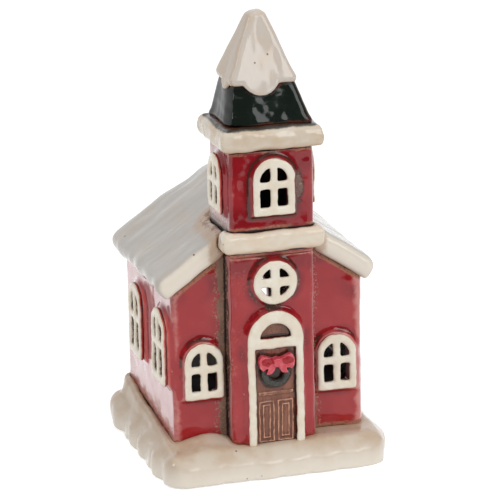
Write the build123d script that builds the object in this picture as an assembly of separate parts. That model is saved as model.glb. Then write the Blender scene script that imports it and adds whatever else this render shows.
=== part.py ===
"""A glazed ceramic Christmas village church with an LED tealight inside, in millimetres.

+Z is up, the front door faces -Y, and the origin is the middle of the base on the table.
The church is built as a potter builds it: a hollow snow base, walls with raised window
surrounds, snow roof slabs, a tower with a spire, and windows, door, wreath and bow set on.
"""

import os
from math import cos, radians, sin, tan

from build123d import *

# Snow base: a hollow plinth with a drifted edge
base_height = 13.5
base_rim = 9.0
base_floor = 6.0
front_ledge = 10.5
back_ledge = 8.5
side_ledge = 9.7
base_corner = 14.0
drift_depth = 2.2
drift_count = 6
drift_shoulder_share = 0.6
shoulder_run = 5.8
front_ripple_share = 0.4
bank_height = 9.0
bank_run = 7.4
floor_rise = 20.5

# Walls
wall = 5.0
tower_wall = 4.5
wall_corner = 3.0
tower_corner = 2.5
fit_gap = 0.2
overrun = 1.0

# Raised surrounds that carry the windows and the door
surround_raise = 2.0
surround_draft = 2.0
panel_thick = 1.4
panel_seat = 1.6

# Arched windows: width, height and rise of the arch
front_window_width, front_window_height, front_window_rise = 18.0, 26.0, 8.2
side_window_width, side_window_height, side_window_rise = 19.4, 34.2, 9.2
tower_window_width, tower_window_height, tower_window_rise = 18.8, 25.5, 8.4
tower_side_window_width = 17.0
frame_border = 2.6
frame_head = 3.4
frame_sill = 3.2
glazing_bar = 2.9
bar_height_share = 0.53
front_sill = 21.8
left_window_step = 1.2
right_window_drop = 2.5
wing_margin = 1.4
side_front_margin = 2.0
side_window_gap = 16.0
side_back_margin = 14.2
side_head = 9.7
tower_front_margin = 8.1
tower_side_front_margin = 3.4
tower_side_back_margin = 8.1
tower_sill_gap = 5.5
tower_head = 1.5

# Round window
round_radius = 10.0
round_draft = 1.6
round_border = 2.7
round_bar = 3.6
round_gap = 0.3
porch_head = 0.4

# Porch, door surround, door and fanlight
porch_depth = 10.0
door_surround_width, door_surround_height = 25.0, 62.5
door_border = 2.7
fanlight_border = 4.8
transom = 4.0
door_recess = 1.8
door_thick = 1.4
bead_raise = 0.5
door_stile = 1.5
door_rail = 1.2
moulding_height = 1.6
moulding_gap = 2.8
panel_bead_share = 0.09
panel_nest_share = 0.25

# Wreath and bow
wreath_radius = 5.0
wreath_tube = 1.9
wreath_flats = 8
wreath_drop = 12.0
wreath_clearance = 2.18
wreath_sink_share = 0.35
bow_half_width = 8.2
bow_half_height = 3.6
bow_tail_length = 5.2
bow_tail_spread = 3.8
bow_tail_width = 2.8
bow_thick = 1.9
bow_lift = 5.6
bow_waist = 1.4
bow_round = 1.6
knot_radius = 2.0
knot_raise = 0.8

# Snow roof
roof_pitch = 35.0
roof_thick = 9.0
eave_overhang = 2.2
rake_front = 3.0
rake_back = 4.0
ridge_round = 11.0
eave_round = 4.2
rake_round = 3.2

# Snow ledge over the porch and snow crown round the tower top
ledge_lift = 2.0
ledge_height = 10.0
ledge_overhang = 3.8
ledge_round = 3.4
crown_height = 10.5
crown_overhang = 4.0
crown_top_round = 4.2
crown_foot_round = 3.0

# Spire and its snow cap
spire_height = 46.5
spire_foot_margin = 0.4
skirt_height = 2.4
skirt_run = 1.0
shoulder_height = 20.0
shoulder_inset = 4.3
spire_tip = 5.0
spire_bore_width, spire_bore_depth, spire_bore_height = 18.0, 12.0, 18.0
cap_thick = 2.0
cap_level = 17.5
cap_lip = 0.8
cap_edge_round = 2.6
cap_tip_cut = 1.6
front_drip_width, front_drip_fall = 16.0, 4.5
side_drip_width, side_drip_fall = 9.0, 2.5
drip_step = 6.0
front_drip_step = 1.5

# Tealight hatch in the back wall
hatch_width, hatch_height = 48.0, 46.0

# LED tealight: cup, flame and LED
tea_width = 38.0
tea_height = 17.0
tea_wall = 1.2
tea_rim = 1.4
tea_dish = 2.2
tea_setback = 17.5
flame_width = 9.6
flame_height = 18.0
flame_wall = 0.9
flame_flats = 10
flame_height_shares = (0.0, 0.2, 0.45, 0.75, 1.0)
flame_width_shares = (0.86, 1.0, 0.8, 0.4, 0.1)
led_width = 5.0
led_length = 8.6
led_flange = 6.0
led_flange_thick = 1.0
led_boss_wall = 1.2
led_boss_drop = 2.0
lead_pitch = 2.54
lead_width = 0.5
lead_gap = 1.0

# LED tealight: bottom plate, coin cell, bayonet door and slide switch
plate_thick = 2.5
cell_width = 20.0
cell_thick = 3.2
cell_slack = 0.4
cell_step = 0.4
socket_wall = 1.2
socket_height = 5.2
lip_thick = 0.8
door_flange = 1.4
door_sink = 1.0
lug_reach = 0.7
lug_thick = 0.7
lug_angle = 24.0
lug_turn = 60.0
moving_gap = 0.3
coin_slot_width = 1.6
coin_slot_length = 12.0
coin_slot_depth = 0.6
slider_length = 3.6
slider_width = 2.2
slider_travel = 2.4
slider_flange = 0.5
slider_flange_thick = 0.8
slider_recess = 1.1
slider_offset = 14.45

# Places worked out from the sizes above
tower_width = tower_window_width + 2 * (surround_draft + tower_front_margin)
tower_depth = (
    tower_side_front_margin + tower_side_back_margin
    + tower_side_window_width + 2 * surround_draft
)
room_floor = base_height + floor_rise
wing_width = front_window_width + 2 * (surround_draft + wing_margin)
nave_width = tower_width + 2 * wing_width
nave_depth = (
    side_front_margin + side_window_gap + side_back_margin
    + 2 * side_window_width + 4 * surround_draft
)
base_width = nave_width + 2 * side_ledge
base_depth = front_ledge + porch_depth + nave_depth + back_ledge
nave_half = nave_width / 2
tower_half = tower_width / 2
porch_front = -base_depth / 2 + front_ledge
nave_front = porch_front + porch_depth
nave_back = nave_front + nave_depth
tower_back = porch_front + tower_depth
tower_middle = (porch_front + tower_back) / 2
door_top = base_height + door_surround_height
fanlight_sill = door_surround_height - door_surround_width / 2
fanlight_width = door_surround_width - 2 * fanlight_border
fanlight_rise = fanlight_width / 2
doorway_height = fanlight_sill - transom
doorway_width = door_surround_width - 2 * door_border
wreath_height = doorway_height - wreath_drop
round_middle = door_top + surround_draft + round_gap + round_draft + round_radius
porch_top = round_middle + round_radius + round_draft + porch_head
pitch_rise = tan(radians(roof_pitch))
roof_drop = roof_thick / cos(radians(roof_pitch))
eave_level = porch_top - wing_width * pitch_rise
ridge_underside = porch_top + tower_half * pitch_rise
side_sill_level = eave_level - side_head - side_window_height
ledge_level = porch_top + ledge_lift
ledge_top = ledge_level + ledge_height
tower_sill_level = ledge_top + tower_sill_gap + surround_draft
tower_top = tower_sill_level + tower_window_height + surround_draft + tower_head
spire_level = tower_top + crown_height
tea_middle = nave_front + wall + tea_width / 2 + tea_setback


def front_plane(x, y, z):
    """A wall face that looks along -Y, with its sketch's bottom middle at the point."""
    return Plane(origin=(x, y, z), x_dir=(1, 0, 0), z_dir=(0, -1, 0))


def back_plane(x, y, z):
    return Plane(origin=(x, y, z), x_dir=(-1, 0, 0), z_dir=(0, 1, 0))


def left_plane(x, y, z):
    return Plane(origin=(x, y, z), x_dir=(0, -1, 0), z_dir=(-1, 0, 0))


def right_plane(x, y, z):
    return Plane(origin=(x, y, z), x_dir=(0, 1, 0), z_dir=(1, 0, 0))


def block(x0, x1, y0, y1, z0, z1):
    """A box between two corners."""
    middle = Pos((x0 + x1) / 2, (y0 + y1) / 2, (z0 + z1) / 2)
    return middle * Box(x1 - x0, y1 - y0, z1 - z0)


def arch(width, height, rise, grow=0):
    """An arched outline on its sill line, moved outwards by grow on every side."""
    half = width / 2 + grow
    spring = height - rise
    jambs = Polyline((-half, spring), (-half, -grow), (half, -grow), (half, spring))
    head = ThreePointArc((half, spring), (0, height + grow), (-half, spring))
    return make_face(jambs + head)


def disc(radius):
    return Sketch() + Circle(radius)


# Each opening: where it stands, its face outline, its grown outline and its hole
def arched_opening(plane, width, height, rise):
    return {
        "plane": plane,
        "face": arch(width, height, rise),
        "foot": arch(width, height, rise, surround_draft),
        "hole": arch(width, height, rise, -panel_seat),
        "clear": Pos(0, frame_sill) * arch(
            width - 2 * frame_border, height - frame_sill - frame_head, rise - frame_border
        ),
        "bars": [
            Pos(0, height / 2) * Rectangle(glazing_bar, height),
            Pos(0, height * bar_height_share) * Rectangle(width, glazing_bar),
        ],
    }


def round_opening(plane):
    return {
        "plane": plane,
        "face": disc(round_radius),
        "foot": disc(round_radius + round_draft),
        "hole": disc(round_radius - panel_seat),
        "clear": disc(round_radius - round_border),
        "bars": [
            Rectangle(round_bar, 2 * round_radius),
            Rectangle(2 * round_radius, round_bar),
        ],
    }


# A side slab's windows stand nearer its right-hand end, seen from outside
side_first = side_front_margin + surround_draft + side_window_width / 2
side_second = side_first + side_window_width + 2 * surround_draft + side_window_gap
tower_side_place = tower_side_front_margin + surround_draft + tower_side_window_width / 2
wing_middle = tower_half + wing_width / 2
front_sizes = (front_window_width, front_window_height, front_window_rise)
side_sizes = (side_window_width, side_window_height, side_window_rise)
tower_sizes = (tower_window_width, tower_window_height, tower_window_rise)
tower_side_sizes = (tower_side_window_width, tower_window_height, tower_window_rise)
front_sill_level = base_height + front_sill

nave_openings = {
    "nave_window_front_left": arched_opening(
        front_plane(-wing_middle + left_window_step, nave_front, front_sill_level), *front_sizes
    ),
    "nave_window_front_right": arched_opening(
        front_plane(wing_middle, nave_front, front_sill_level - right_window_drop), *front_sizes
    ),
}
for place, far, along in (("front", "rear", side_first), ("rear", "front", side_second)):
    nave_openings[f"nave_window_left_{place}"] = arched_opening(
        left_plane(-nave_half, nave_front + along, side_sill_level), *side_sizes
    )
    nave_openings[f"nave_window_right_{far}"] = arched_opening(
        right_plane(nave_half, nave_back - along, side_sill_level), *side_sizes
    )
tower_openings = {
    "tower_window_front": arched_opening(
        front_plane(0, porch_front, tower_sill_level), *tower_sizes
    ),
    "tower_window_left": arched_opening(
        left_plane(-tower_half, porch_front + tower_side_place, tower_sill_level), *tower_side_sizes
    ),
    "tower_window_right": arched_opening(
        right_plane(tower_half, tower_back - tower_side_place, tower_sill_level), *tower_side_sizes
    ),
}
round_place = round_opening(front_plane(0, porch_front, round_middle))


def raised_surround(opening):
    """The drafted boss that stands out of a wall round an opening."""
    foot = opening["plane"] * opening["foot"]
    face = opening["plane"].offset(surround_raise) * opening["face"]
    return loft([foot.face(), face.face()], ruled=True)


def opening_cut(opening, depth):
    """The hole through a surround and the wall behind it."""
    start = opening["plane"].offset(surround_raise + overrun)
    return extrude(start * opening["hole"], -(surround_raise + 2 * overrun + depth))


def window_panel(opening):
    """A cream window plate with its panes cut right through."""
    panes = opening["clear"]
    for bar in opening["bars"]:
        panes = panes - bar
    seat = opening["plane"].offset(surround_raise)
    plate = extrude(seat * opening["face"], panel_thick)
    cut = extrude(seat.offset(-overrun) * panes, panel_thick + 2 * overrun)
    return plate - cut


def drift_outline():
    """A rounded rectangle whose sides are rows of snow lobes, each one arc."""
    half_x, half_y = base_width / 2, base_depth / 2
    run_x, run_y = half_x - base_corner, half_y - base_corner
    sides = (
        ((1, 0), (0, 1), half_x, run_y, drift_depth),
        ((0, 1), (-1, 0), half_y, run_x, drift_depth),
        ((-1, 0), (0, -1), half_x, run_y, drift_depth),
        ((0, -1), (1, 0), half_y, run_x, drift_depth * front_ripple_share),
    )
    turn = base_corner * sin(radians(45))
    points = []
    for out, along, reach, run, depth in sides:
        for step in range(2 * drift_count + 1):
            rise = reach - depth * ((step + 1) % 2)
            travel = (step / drift_count - 1) * run
            points.append((rise * out[0] + travel * along[0], rise * out[1] + travel * along[1]))
        rise, travel = reach - base_corner + turn, run + turn
        points.append((rise * out[0] + travel * along[0], rise * out[1] + travel * along[1]))
    closed = points + points[:1]
    return make_face([
        ThreePointArc(*closed[first:first + 3]) for first in range(0, len(points), 2)
    ])


def snow_base():
    """The drifted plinth, its bank and the raised floor that brings the tealight up to the windows."""
    slab = extrude(drift_outline(), base_height)
    slab = slab & sloped_sides(base_height * drift_shoulder_share, base_height, 0, shoulder_run)
    slab = slab + snow_bank() + raised_floor(fit_gap, 0)
    hollow = RectangleRounded(base_width - 2 * base_rim, base_depth - 2 * base_rim, base_corner / 2)
    slab -= extrude(Pos(0, 0, -overrun) * hollow, base_height - base_floor + overrun)
    return slab - raised_floor(wall, base_floor)


def sloped_sides(low, high, low_inset, high_inset):
    """All that lies within the base's outline and under four slopes, from inset to inset."""
    solid = block(-base_width, base_width, -base_depth, base_depth, 0, high)
    for half, plane in ((base_width / 2, Plane.XZ), (base_depth / 2, Plane.YZ)):
        foot, head = half - low_inset, half - high_inset
        view = make_face(Polyline(
            (-foot, 0), (foot, 0), (foot, low), (head, high), (-head, high), (-foot, low), close=True,
        ))
        solid = solid & extrude(plane * view, base_width, both=True)
    return solid


def raised_floor(inset, drop):
    """The block that fills the nave up to its floor, or the hollow under that floor."""
    half = nave_half - wall - inset
    front, back = nave_front + wall + inset, nave_back - wall - inset
    return block(-half, half, front, back, base_floor, room_floor - drop)


def snow_bank():
    """Snow heaped against the nave, level with the base in front and higher behind."""
    top = base_height + bank_height
    ledge = RectangleRounded(
        base_width - 2 * shoulder_run, base_depth - 2 * shoulder_run, base_corner - shoulder_run
    )
    heap = extrude(Pos(0, 0, base_floor) * ledge, top - base_floor)
    heap = heap & sloped_sides(base_height, top, shoulder_run, bank_run)
    view = make_face(Polyline(
        (nave_front, base_floor), (nave_front, base_height), (nave_back, top), (base_depth, top),
        (base_depth, base_floor), close=True,
    ))
    return (heap & extrude(Plane.YZ * view, base_width, both=True)) - nave_prism()


def nave_prism():
    """The nave's outer shape with its rounded corners, before it is hollowed."""
    solid = extrude(gable_face(nave_front), nave_depth, dir=(0, 1, 0))
    return fillet(solid.edges().filter_by(Axis.Z), wall_corner)


def gable_face(y):
    """The church's end outline, from the floor to the underside of the roof."""
    return make_face(Polyline(
        (-nave_half, y, base_height),
        (nave_half, y, base_height),
        (nave_half, y, eave_level),
        (0, y, ridge_underside),
        (-nave_half, y, eave_level),
        close=True,
    ))


def nave_walls():
    shell = nave_prism()
    for opening in nave_openings.values():
        shell = shell + raised_surround(opening)
    top = ridge_underside + overrun
    shell -= block(
        -nave_half + wall, nave_half - wall, nave_front + wall, nave_back - wall,
        base_height - overrun, top,
    )
    for opening in nave_openings.values():
        shell -= opening_cut(opening, wall)
    inner = tower_half - tower_wall
    shell -= block(
        -inner, inner, nave_front - overrun, nave_front + wall + overrun,
        base_height - overrun, top,
    )
    shell -= block(
        -tower_half - fit_gap, tower_half + fit_gap,
        nave_front - overrun, nave_front + wall + overrun, porch_top, top,
    )
    hatch = arch(hatch_width, hatch_height, hatch_width / 2)
    place = back_plane(0, nave_back + overrun, room_floor)
    return shell - extrude(place * hatch, -(wall + 2 * overrun))


def door_outline(grow=0):
    return arch(door_surround_width, door_surround_height, door_surround_width / 2, grow)


def doorway_outline(gap=0):
    width = doorway_width - 2 * gap
    return Pos(0, (doorway_height - gap) / 2) * Rectangle(width, doorway_height - gap)


def fanlight_outline(gap=0):
    half = fanlight_width / 2 - gap
    sill = fanlight_sill + gap
    head = ThreePointArc((half, sill), (0, fanlight_sill + fanlight_rise - gap), (-half, sill))
    return make_face(head + Line((-half, sill), (half, sill)))


door_plane = front_plane(0, porch_front, base_height)


def porch_walls():
    inner = tower_half - tower_wall
    shell = block(-tower_half, tower_half, porch_front, nave_front, base_height, porch_top)
    front_edges = shell.edges().filter_by(Axis.Z).group_by(Axis.Y)[0]
    shell = fillet(front_edges, tower_corner)
    foot = arch(
        door_surround_width + 2 * surround_draft, door_surround_height + surround_draft,
        door_surround_width / 2 + surround_draft,
    )
    boss = loft(
        [(door_plane * foot).face(), (door_plane.offset(surround_raise) * door_outline()).face()],
        ruled=True,
    )
    shell = shell + boss + raised_surround(round_place)
    shell -= block(
        -inner, inner, porch_front + tower_wall, nave_front + overrun,
        base_height - overrun, porch_top + overrun,
    )
    shell -= opening_cut(round_place, tower_wall)
    face = door_plane.offset(surround_raise + overrun)
    for recess in (doorway_outline(), fanlight_outline()):
        shell -= extrude(face * recess, -(door_recess + overrun))
    return shell


def door_surround():
    face = door_plane.offset(surround_raise)
    frame = door_outline() - doorway_outline() - fanlight_outline()
    return extrude(face * frame, panel_thick)


def fanlight():
    seat = door_plane.offset(surround_raise - door_recess)
    return extrude(seat * fanlight_outline(fit_gap), door_thick)


def door_leaf():
    """The door: a slab with two nested bead panels and a moulding bar, clear of the wreath."""
    seat = door_plane.offset(surround_raise - door_recess)
    slab = extrude(seat * doorway_outline(fit_gap), door_thick)
    leaf_width = doorway_width - 2 * fit_gap
    panel_width = (leaf_width - 3 * door_stile) / 2
    wreath_foot = wreath_height - wreath_radius - wreath_tube
    bar_level = wreath_foot - wreath_clearance - moulding_height
    panel_height = bar_level - moulding_gap - door_rail
    bead = panel_width * panel_bead_share
    face = seat.offset(door_thick)
    relief = Sketch()
    for side in (-1, 1):
        middle = Pos(side * (panel_width + door_stile) / 2, door_rail + panel_height / 2)
        for nest in (0, panel_width * panel_nest_share):
            width = panel_width - 2 * nest
            height = panel_height - 2 * nest
            relief += middle * (
                Rectangle(width, height) - Rectangle(width - 2 * bead, height - 2 * bead)
            )
    bar_width = leaf_width - 2 * door_stile
    relief += Pos(0, bar_level + moulding_height / 2) * Rectangle(bar_width, moulding_height)
    return slab + extrude(face * relief, bead_raise)


def bow():
    """Two loops, two tails and a knot, laid through the top of the wreath."""
    seat = door_plane.offset(surround_raise - door_recess + door_thick)
    middle = Pos(0, wreath_height + bow_lift)
    shape = Sketch()
    for side in (-1, 1):
        tip = side * bow_half_width
        shoulder = tip - side * bow_round
        upper = ThreePointArc(
            (0, bow_waist), (shoulder / 2, bow_half_height / 2 + bow_waist / 4),
            (shoulder, bow_half_height),
        )
        end = ThreePointArc((shoulder, bow_half_height), (tip, 0), (shoulder, -bow_half_height))
        lower = ThreePointArc(
            (shoulder, -bow_half_height), (shoulder / 2, -bow_half_height / 2 - bow_waist / 4),
            (0, -bow_waist),
        )
        shape += make_face(upper + end + lower + Line((0, -bow_waist), (0, bow_waist)))
        foot = side * bow_tail_spread
        shape += make_face(Polyline(
            (0, bow_waist), (side * bow_tail_width, 0),
            (foot + side * bow_tail_width / 2, -bow_tail_length),
            (foot - side * bow_tail_width / 2, -bow_tail_length), (0, -bow_waist),
            close=True,
        ))
    depth = 2 * wreath_tube - wreath_tube * wreath_sink_share + bow_thick / 2
    ribbon = extrude(seat * middle * shape, depth)
    knot = extrude(seat * middle * disc(knot_radius), depth + knot_raise)
    return ribbon + knot


def wreath():
    """A ring of many flats laid on the door, flat where it is bedded into it, under the bow."""
    sink = wreath_tube * wreath_sink_share
    face = door_plane.offset(surround_raise - door_recess + door_thick)
    section = Plane.XZ * Pos(wreath_radius, wreath_tube - sink) * RegularPolygon(
        wreath_tube, wreath_flats, rotation=180 / wreath_flats
    )
    ring = face * Pos(0, wreath_height) * revolve(section, Axis.Z)
    reach = wreath_radius + wreath_tube + overrun
    behind = face * Pos(0, wreath_height, -wreath_tube) * Box(2 * reach, 2 * reach, 2 * wreath_tube)
    return (ring - behind - bow()).solids().sort_by(SortBy.VOLUME)[-1]


def tower_prism(bottom, top):
    """The tower's outer shape between two levels, with its rounded corners."""
    prism = block(-tower_half, tower_half, porch_front, tower_back, bottom, top)
    return fillet(prism.edges().filter_by(Axis.Z), tower_corner)


def tower_walls():
    inner = tower_half - tower_wall
    shell = tower_prism(porch_top, tower_top)
    for opening in tower_openings.values():
        shell = shell + raised_surround(opening)
    shell -= block(
        -inner, inner, porch_front + tower_wall, tower_back - tower_wall,
        porch_top - overrun, tower_top + overrun,
    )
    for opening in tower_openings.values():
        shell -= opening_cut(opening, tower_wall)
    return shell


def snow_roof():
    """Both snow slabs in one, rounded at the ridge, eaves and rakes, cut to clear the tower."""
    slope = radians(roof_pitch)
    reach = nave_half + eave_overhang
    eave = eave_level - eave_overhang * pitch_rise
    lip = (reach + roof_thick * sin(slope), eave + roof_thick * cos(slope))
    start = nave_front - rake_front
    length = nave_depth + rake_front + rake_back
    profile = make_face(Polyline(
        (0, start, ridge_underside),
        (reach, start, eave),
        (lip[0], start, lip[1]),
        (0, start, ridge_underside + roof_drop),
        (-lip[0], start, lip[1]),
        (-reach, start, eave),
        close=True,
    ))
    slab = extrude(profile, length, dir=(0, 1, 0))
    long_edges = slab.edges().filter_by(Axis.Y)
    ridge = long_edges.sort_by(Axis.Z)[-1]
    slab = fillet([ridge], ridge_round)
    lips = slab.edges().filter_by(Axis.Y).group_by(Axis.X)
    slab = fillet(lips[0] + lips[-1], eave_round)
    for end in (slab.faces().sort_by(Axis.Y)[0], slab.faces().sort_by(Axis.Y)[-1]):
        under = ShapeList(e for e in end.edges() if is_underside(e))
        slab = fillet([e for e in end.edges() if e not in under], rake_round)
    return slab - tower_prism(base_height, spire_level)


def is_underside(edge):
    """True for the two long lower edges of a roof end."""
    low = edge.center().Z
    line = ridge_underside - abs(edge.center().X) * pitch_rise
    return abs(low - line) < fit_gap


def roof_side(side):
    reach = side * base_width
    half = block(min(0, reach), max(0, reach), -base_depth, base_depth, 0, spire_level)
    return snow_roof() & half


def porch_snow_ledge():
    """A roll of snow round three sides of the tower, over the porch."""
    reach = tower_half + ledge_overhang
    back = nave_front - rake_front
    roll = block(-reach, reach, porch_front - ledge_overhang, back, ledge_level, ledge_top)
    rims = ShapeList(e for e in roll.edges().filter_by(Axis.Z, reverse=True) if e.center().Y < back)
    roll = fillet(rims, ledge_round)
    return roll - tower_prism(base_height, spire_level)


def tower_snow_crown():
    """The thick snow eave that closes the tower top."""
    x = tower_half + crown_overhang
    y0 = porch_front - crown_overhang
    y1 = tower_back + crown_overhang
    roll = block(-x, x, y0, y1, tower_top, spire_level)
    roll = fillet(roll.faces().sort_by(Axis.Z)[-1].edges(), crown_top_round)
    roll = fillet(roll.faces().sort_by(Axis.Z)[0].edges(), crown_foot_round)
    inner = tower_half - tower_wall
    return roll - block(
        -inner, inner, porch_front + tower_wall, tower_back - tower_wall,
        tower_top - overrun, spire_level + overrun,
    )


spire_inset = crown_top_round + spire_foot_margin
spire_foot_x = tower_half + crown_overhang - spire_inset
spire_foot_y = tower_depth / 2 + crown_overhang - spire_inset
body_level = spire_level + skirt_height
shoulder_level = spire_level + shoulder_height
spire_top = spire_level + spire_height


def frustum(low, high, low_half, high_half):
    """Four flat sloping sides between two levels, from half widths in X and Y at each."""
    middle = (low + high) / 2
    solid = block(-base_width, base_width, -base_depth, base_depth, low, high)
    for axis, plane in ((0, Plane.XZ), (1, Plane.YZ)):
        side = make_face(Polyline(
            (-low_half[axis], low - middle), (low_half[axis], low - middle),
            (high_half[axis], high - middle), (-high_half[axis], high - middle),
            close=True,
        ))
        solid = solid & Pos(0, 0, middle) * extrude(plane * side, base_width, both=True)
    return Pos(0, tower_middle, 0) * solid


def spire_halves(grow=0):
    """The spire's half widths at its foot, its body, its shoulder and its tip."""
    insets = (0, skirt_run, skirt_run + shoulder_inset)
    halves = [(spire_foot_x - inset + grow, spire_foot_y - inset + grow) for inset in insets]
    return halves + [(spire_tip / 2 + grow, spire_tip / 2 + grow)]


def slanted(solid, low, high):
    """The edges of a solid that run between two levels."""
    return ShapeList(e for e in solid.edges() if low < e.center().Z < high)


def spire_body():
    foot, body, shoulder, tip = spire_halves()
    lower = frustum(body_level, shoulder_level, body, shoulder)
    upper = frustum(shoulder_level, spire_top, shoulder, tip)
    return frustum(spire_level, body_level, foot, body) + lower + upper


def spire():
    bore = Rectangle(spire_bore_width, spire_bore_depth)
    start = Pos(0, tower_middle, spire_level - overrun)
    return spire_body() - extrude(start * bore, spire_bore_height + overrun)


def drip(plane, width, fall, rise):
    """A tongue of snow on one side of the spire, from under the cap down to a round end."""
    edge = ThreePointArc((-width / 2, 0), (0, -fall), (width / 2, 0))
    sides = Polyline((width / 2, 0), (width / 2, rise), (-width / 2, rise), (-width / 2, 0))
    return extrude(plane * make_face(edge + sides), base_width)


def spire_snow_cap():
    """A cap of snow over the spire, thin at its lower edge, with tongues that run down its sides."""
    top = spire_top + cap_thick
    level = spire_level + cap_level
    foot, body, shoulder, tip = spire_halves(cap_thick)
    upper = frustum(shoulder_level, top, shoulder, (tip[0] - cap_thick / 2, tip[1] - cap_thick / 2))
    upper = fillet(slanted(upper, shoulder_level, top), cap_edge_round)
    upper = chamfer(upper.faces().sort_by(Axis.Z)[-1].edges(), cap_tip_cut)
    down_share = (shoulder_level - level) / (shoulder_level - body_level)
    lip = [
        high + (low - high) * down_share - (cap_thick - cap_lip) for low, high in zip(body, shoulder)
    ]
    edge = frustum(level, shoulder_level, lip, shoulder)
    edge = fillet(slanted(edge, level, shoulder_level), cap_edge_round)
    cap = upper + edge - spire_body()
    skin = frustum(body_level, shoulder_level, body, shoulder) - spire_body()
    tongues = (
        (front_plane(-front_drip_step, tower_middle, level), front_drip_width, front_drip_fall),
        (back_plane(drip_step, tower_middle, level), front_drip_width, side_drip_fall),
        (left_plane(0, tower_middle - drip_step / 2, level), side_drip_width, side_drip_fall),
        (right_plane(0, tower_middle + drip_step / 2, level), side_drip_width, side_drip_fall),
    )
    for plane, width, fall in tongues:
        cap = cap + (skin & drip(plane, width, fall, shoulder_level - level))
    return cap


# The tealight's levels, up from the raised floor
tea_place = Pos(0, tea_middle, room_floor)
dish_level = tea_height - tea_dish
dish_under = dish_level - tea_wall
led_bore = led_width / 2 + fit_gap / 2
led_seat = dish_under - led_boss_drop
cell_hole = cell_width / 2 + cell_slack
lip_level = plate_thick - lip_thick
lug_level = plate_thick + moving_gap
lug_top = lug_level + lug_thick
plug_radius = cell_hole - moving_gap
lug_radius = plug_radius + lug_reach
socket_bore = lug_radius + moving_gap
flange_radius = plug_radius + door_flange
cup_bore = tea_width / 2 - tea_wall
plate_radius = cup_bore - fit_gap


def turned(points):
    """A solid turned about Z from a closed outline of radius and height."""
    outline = Polyline(*[(radius, 0, height) for radius, height in points], close=True)
    return revolve(make_face(outline), Axis.Z)


def tealight_cup():
    """The wax-coloured cup: a wall, a sunk top and a boss that holds the LED."""
    edge = tea_width / 2
    lip = edge - tea_rim
    boss = led_bore + led_boss_wall
    return tea_place * turned([
        (cup_bore, 0), (edge, 0), (edge, tea_height), (lip, tea_height), (lip, dish_level),
        (led_bore, dish_level), (led_bore, led_seat), (boss, led_seat), (boss, dish_under),
        (cup_bore, dish_under),
    ])


def flame(width, height):
    """A flame with many flats: its side view swept across, again and again, turned a little."""
    side = [
        (width / 2 * wide, height * high)
        for wide, high in zip(flame_width_shares, flame_height_shares)
    ]
    view = Plane.XZ * make_face(Polyline(*side, *[(-x, z) for x, z in reversed(side)], close=True))
    sweep = extrude(view, width, both=True)
    body = sweep
    for turn in range(1, flame_flats // 2):
        body = body & Rot(0, 0, 360 / flame_flats * turn) * sweep
    return body


def tealight_flame():
    shell = flame(flame_width, flame_height)
    shell -= flame(flame_width - 2 * flame_wall, flame_height - 2 * flame_wall)
    return tea_place * Pos(0, 0, dish_level) * shell


def tealight_led():
    """A flat-topped LED under the flame, with one lead on the cell and one held off it."""
    radius = led_width / 2
    foot = led_seat - led_flange_thick
    body = turned([
        (0, foot), (led_flange / 2, foot), (led_flange / 2, led_seat), (radius, led_seat),
        (radius, foot + led_length), (0, foot + led_length),
    ])
    cell_top = lug_top + cell_thick
    for side, stop in ((-1, cell_top), (1, cell_top + lead_gap)):
        lead = side * lead_pitch / 2
        half = lead_width / 2
        body = body + block(lead - half, lead + half, -half, half, stop, foot)
    return tea_place * body


def sector(radius, angle, turn, bottom, top):
    """A pie slice on each side of the axis, for the bayonet lugs and their notches."""
    reach = radius / cos(radians(angle / 2))
    slices = Part()
    for side in (0, 180):
        corner = [
            (reach * cos(radians(turn + side + swing)), reach * sin(radians(turn + side + swing)))
            for swing in (-angle / 2, angle / 2)
        ]
        wedge = make_face(Polyline((0, 0), *corner, close=True))
        slices += extrude(Pos(0, 0, bottom) * wedge, top - bottom)
    return slices & (Pos(0, 0, (bottom + top) / 2) * Cylinder(radius, top - bottom))


def tealight_base_plate():
    """The bottom plate with the cell socket, the bayonet lip and the switch slot."""
    plate = turned([
        (cell_hole, lip_level), (flange_radius + moving_gap, lip_level),
        (flange_radius + moving_gap, 0), (plate_radius, 0), (plate_radius, plate_thick),
        (socket_bore + socket_wall, plate_thick),
        (socket_bore + socket_wall, plate_thick + socket_height),
        (socket_bore, plate_thick + socket_height), (socket_bore, plate_thick),
        (cell_hole, plate_thick),
    ])
    notch = lug_angle + 2 * moving_gap * lug_angle / lug_radius
    plate -= sector(lug_radius + moving_gap, notch, lug_turn, lip_level - overrun, lug_level)
    half_x = slider_width / 2 + moving_gap
    half_y = (slider_length + slider_travel) / 2 + moving_gap
    plate -= block(
        slider_offset - half_x, slider_offset + half_x, -half_y, half_y,
        -overrun, plate_thick + overrun,
    )
    return tea_place * plate


def tealight_battery_door():
    """A twist door with two lugs over the lip and a coin slot."""
    door = turned([
        (0, door_sink), (flange_radius, door_sink), (flange_radius, lip_level),
        (plug_radius, lip_level), (plug_radius, lug_top), (0, lug_top),
    ])
    door = door + sector(lug_radius, lug_angle, 0, lug_level, lug_top)
    half_x = coin_slot_length / 2
    half_y = coin_slot_width / 2
    door -= block(-half_x, half_x, -half_y, half_y, door_sink - overrun, door_sink + coin_slot_depth)
    return tea_place * door


def tealight_coin_cell():
    """A coin cell: a wide can and a stepped-in cap on its lower side."""
    radius = cell_width / 2
    return tea_place * turned([
        (0, lug_top), (radius - cell_step, lug_top), (radius - cell_step, lug_top + cell_step),
        (radius, lug_top + cell_step), (radius, lug_top + cell_thick), (0, lug_top + cell_thick),
    ])


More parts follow.
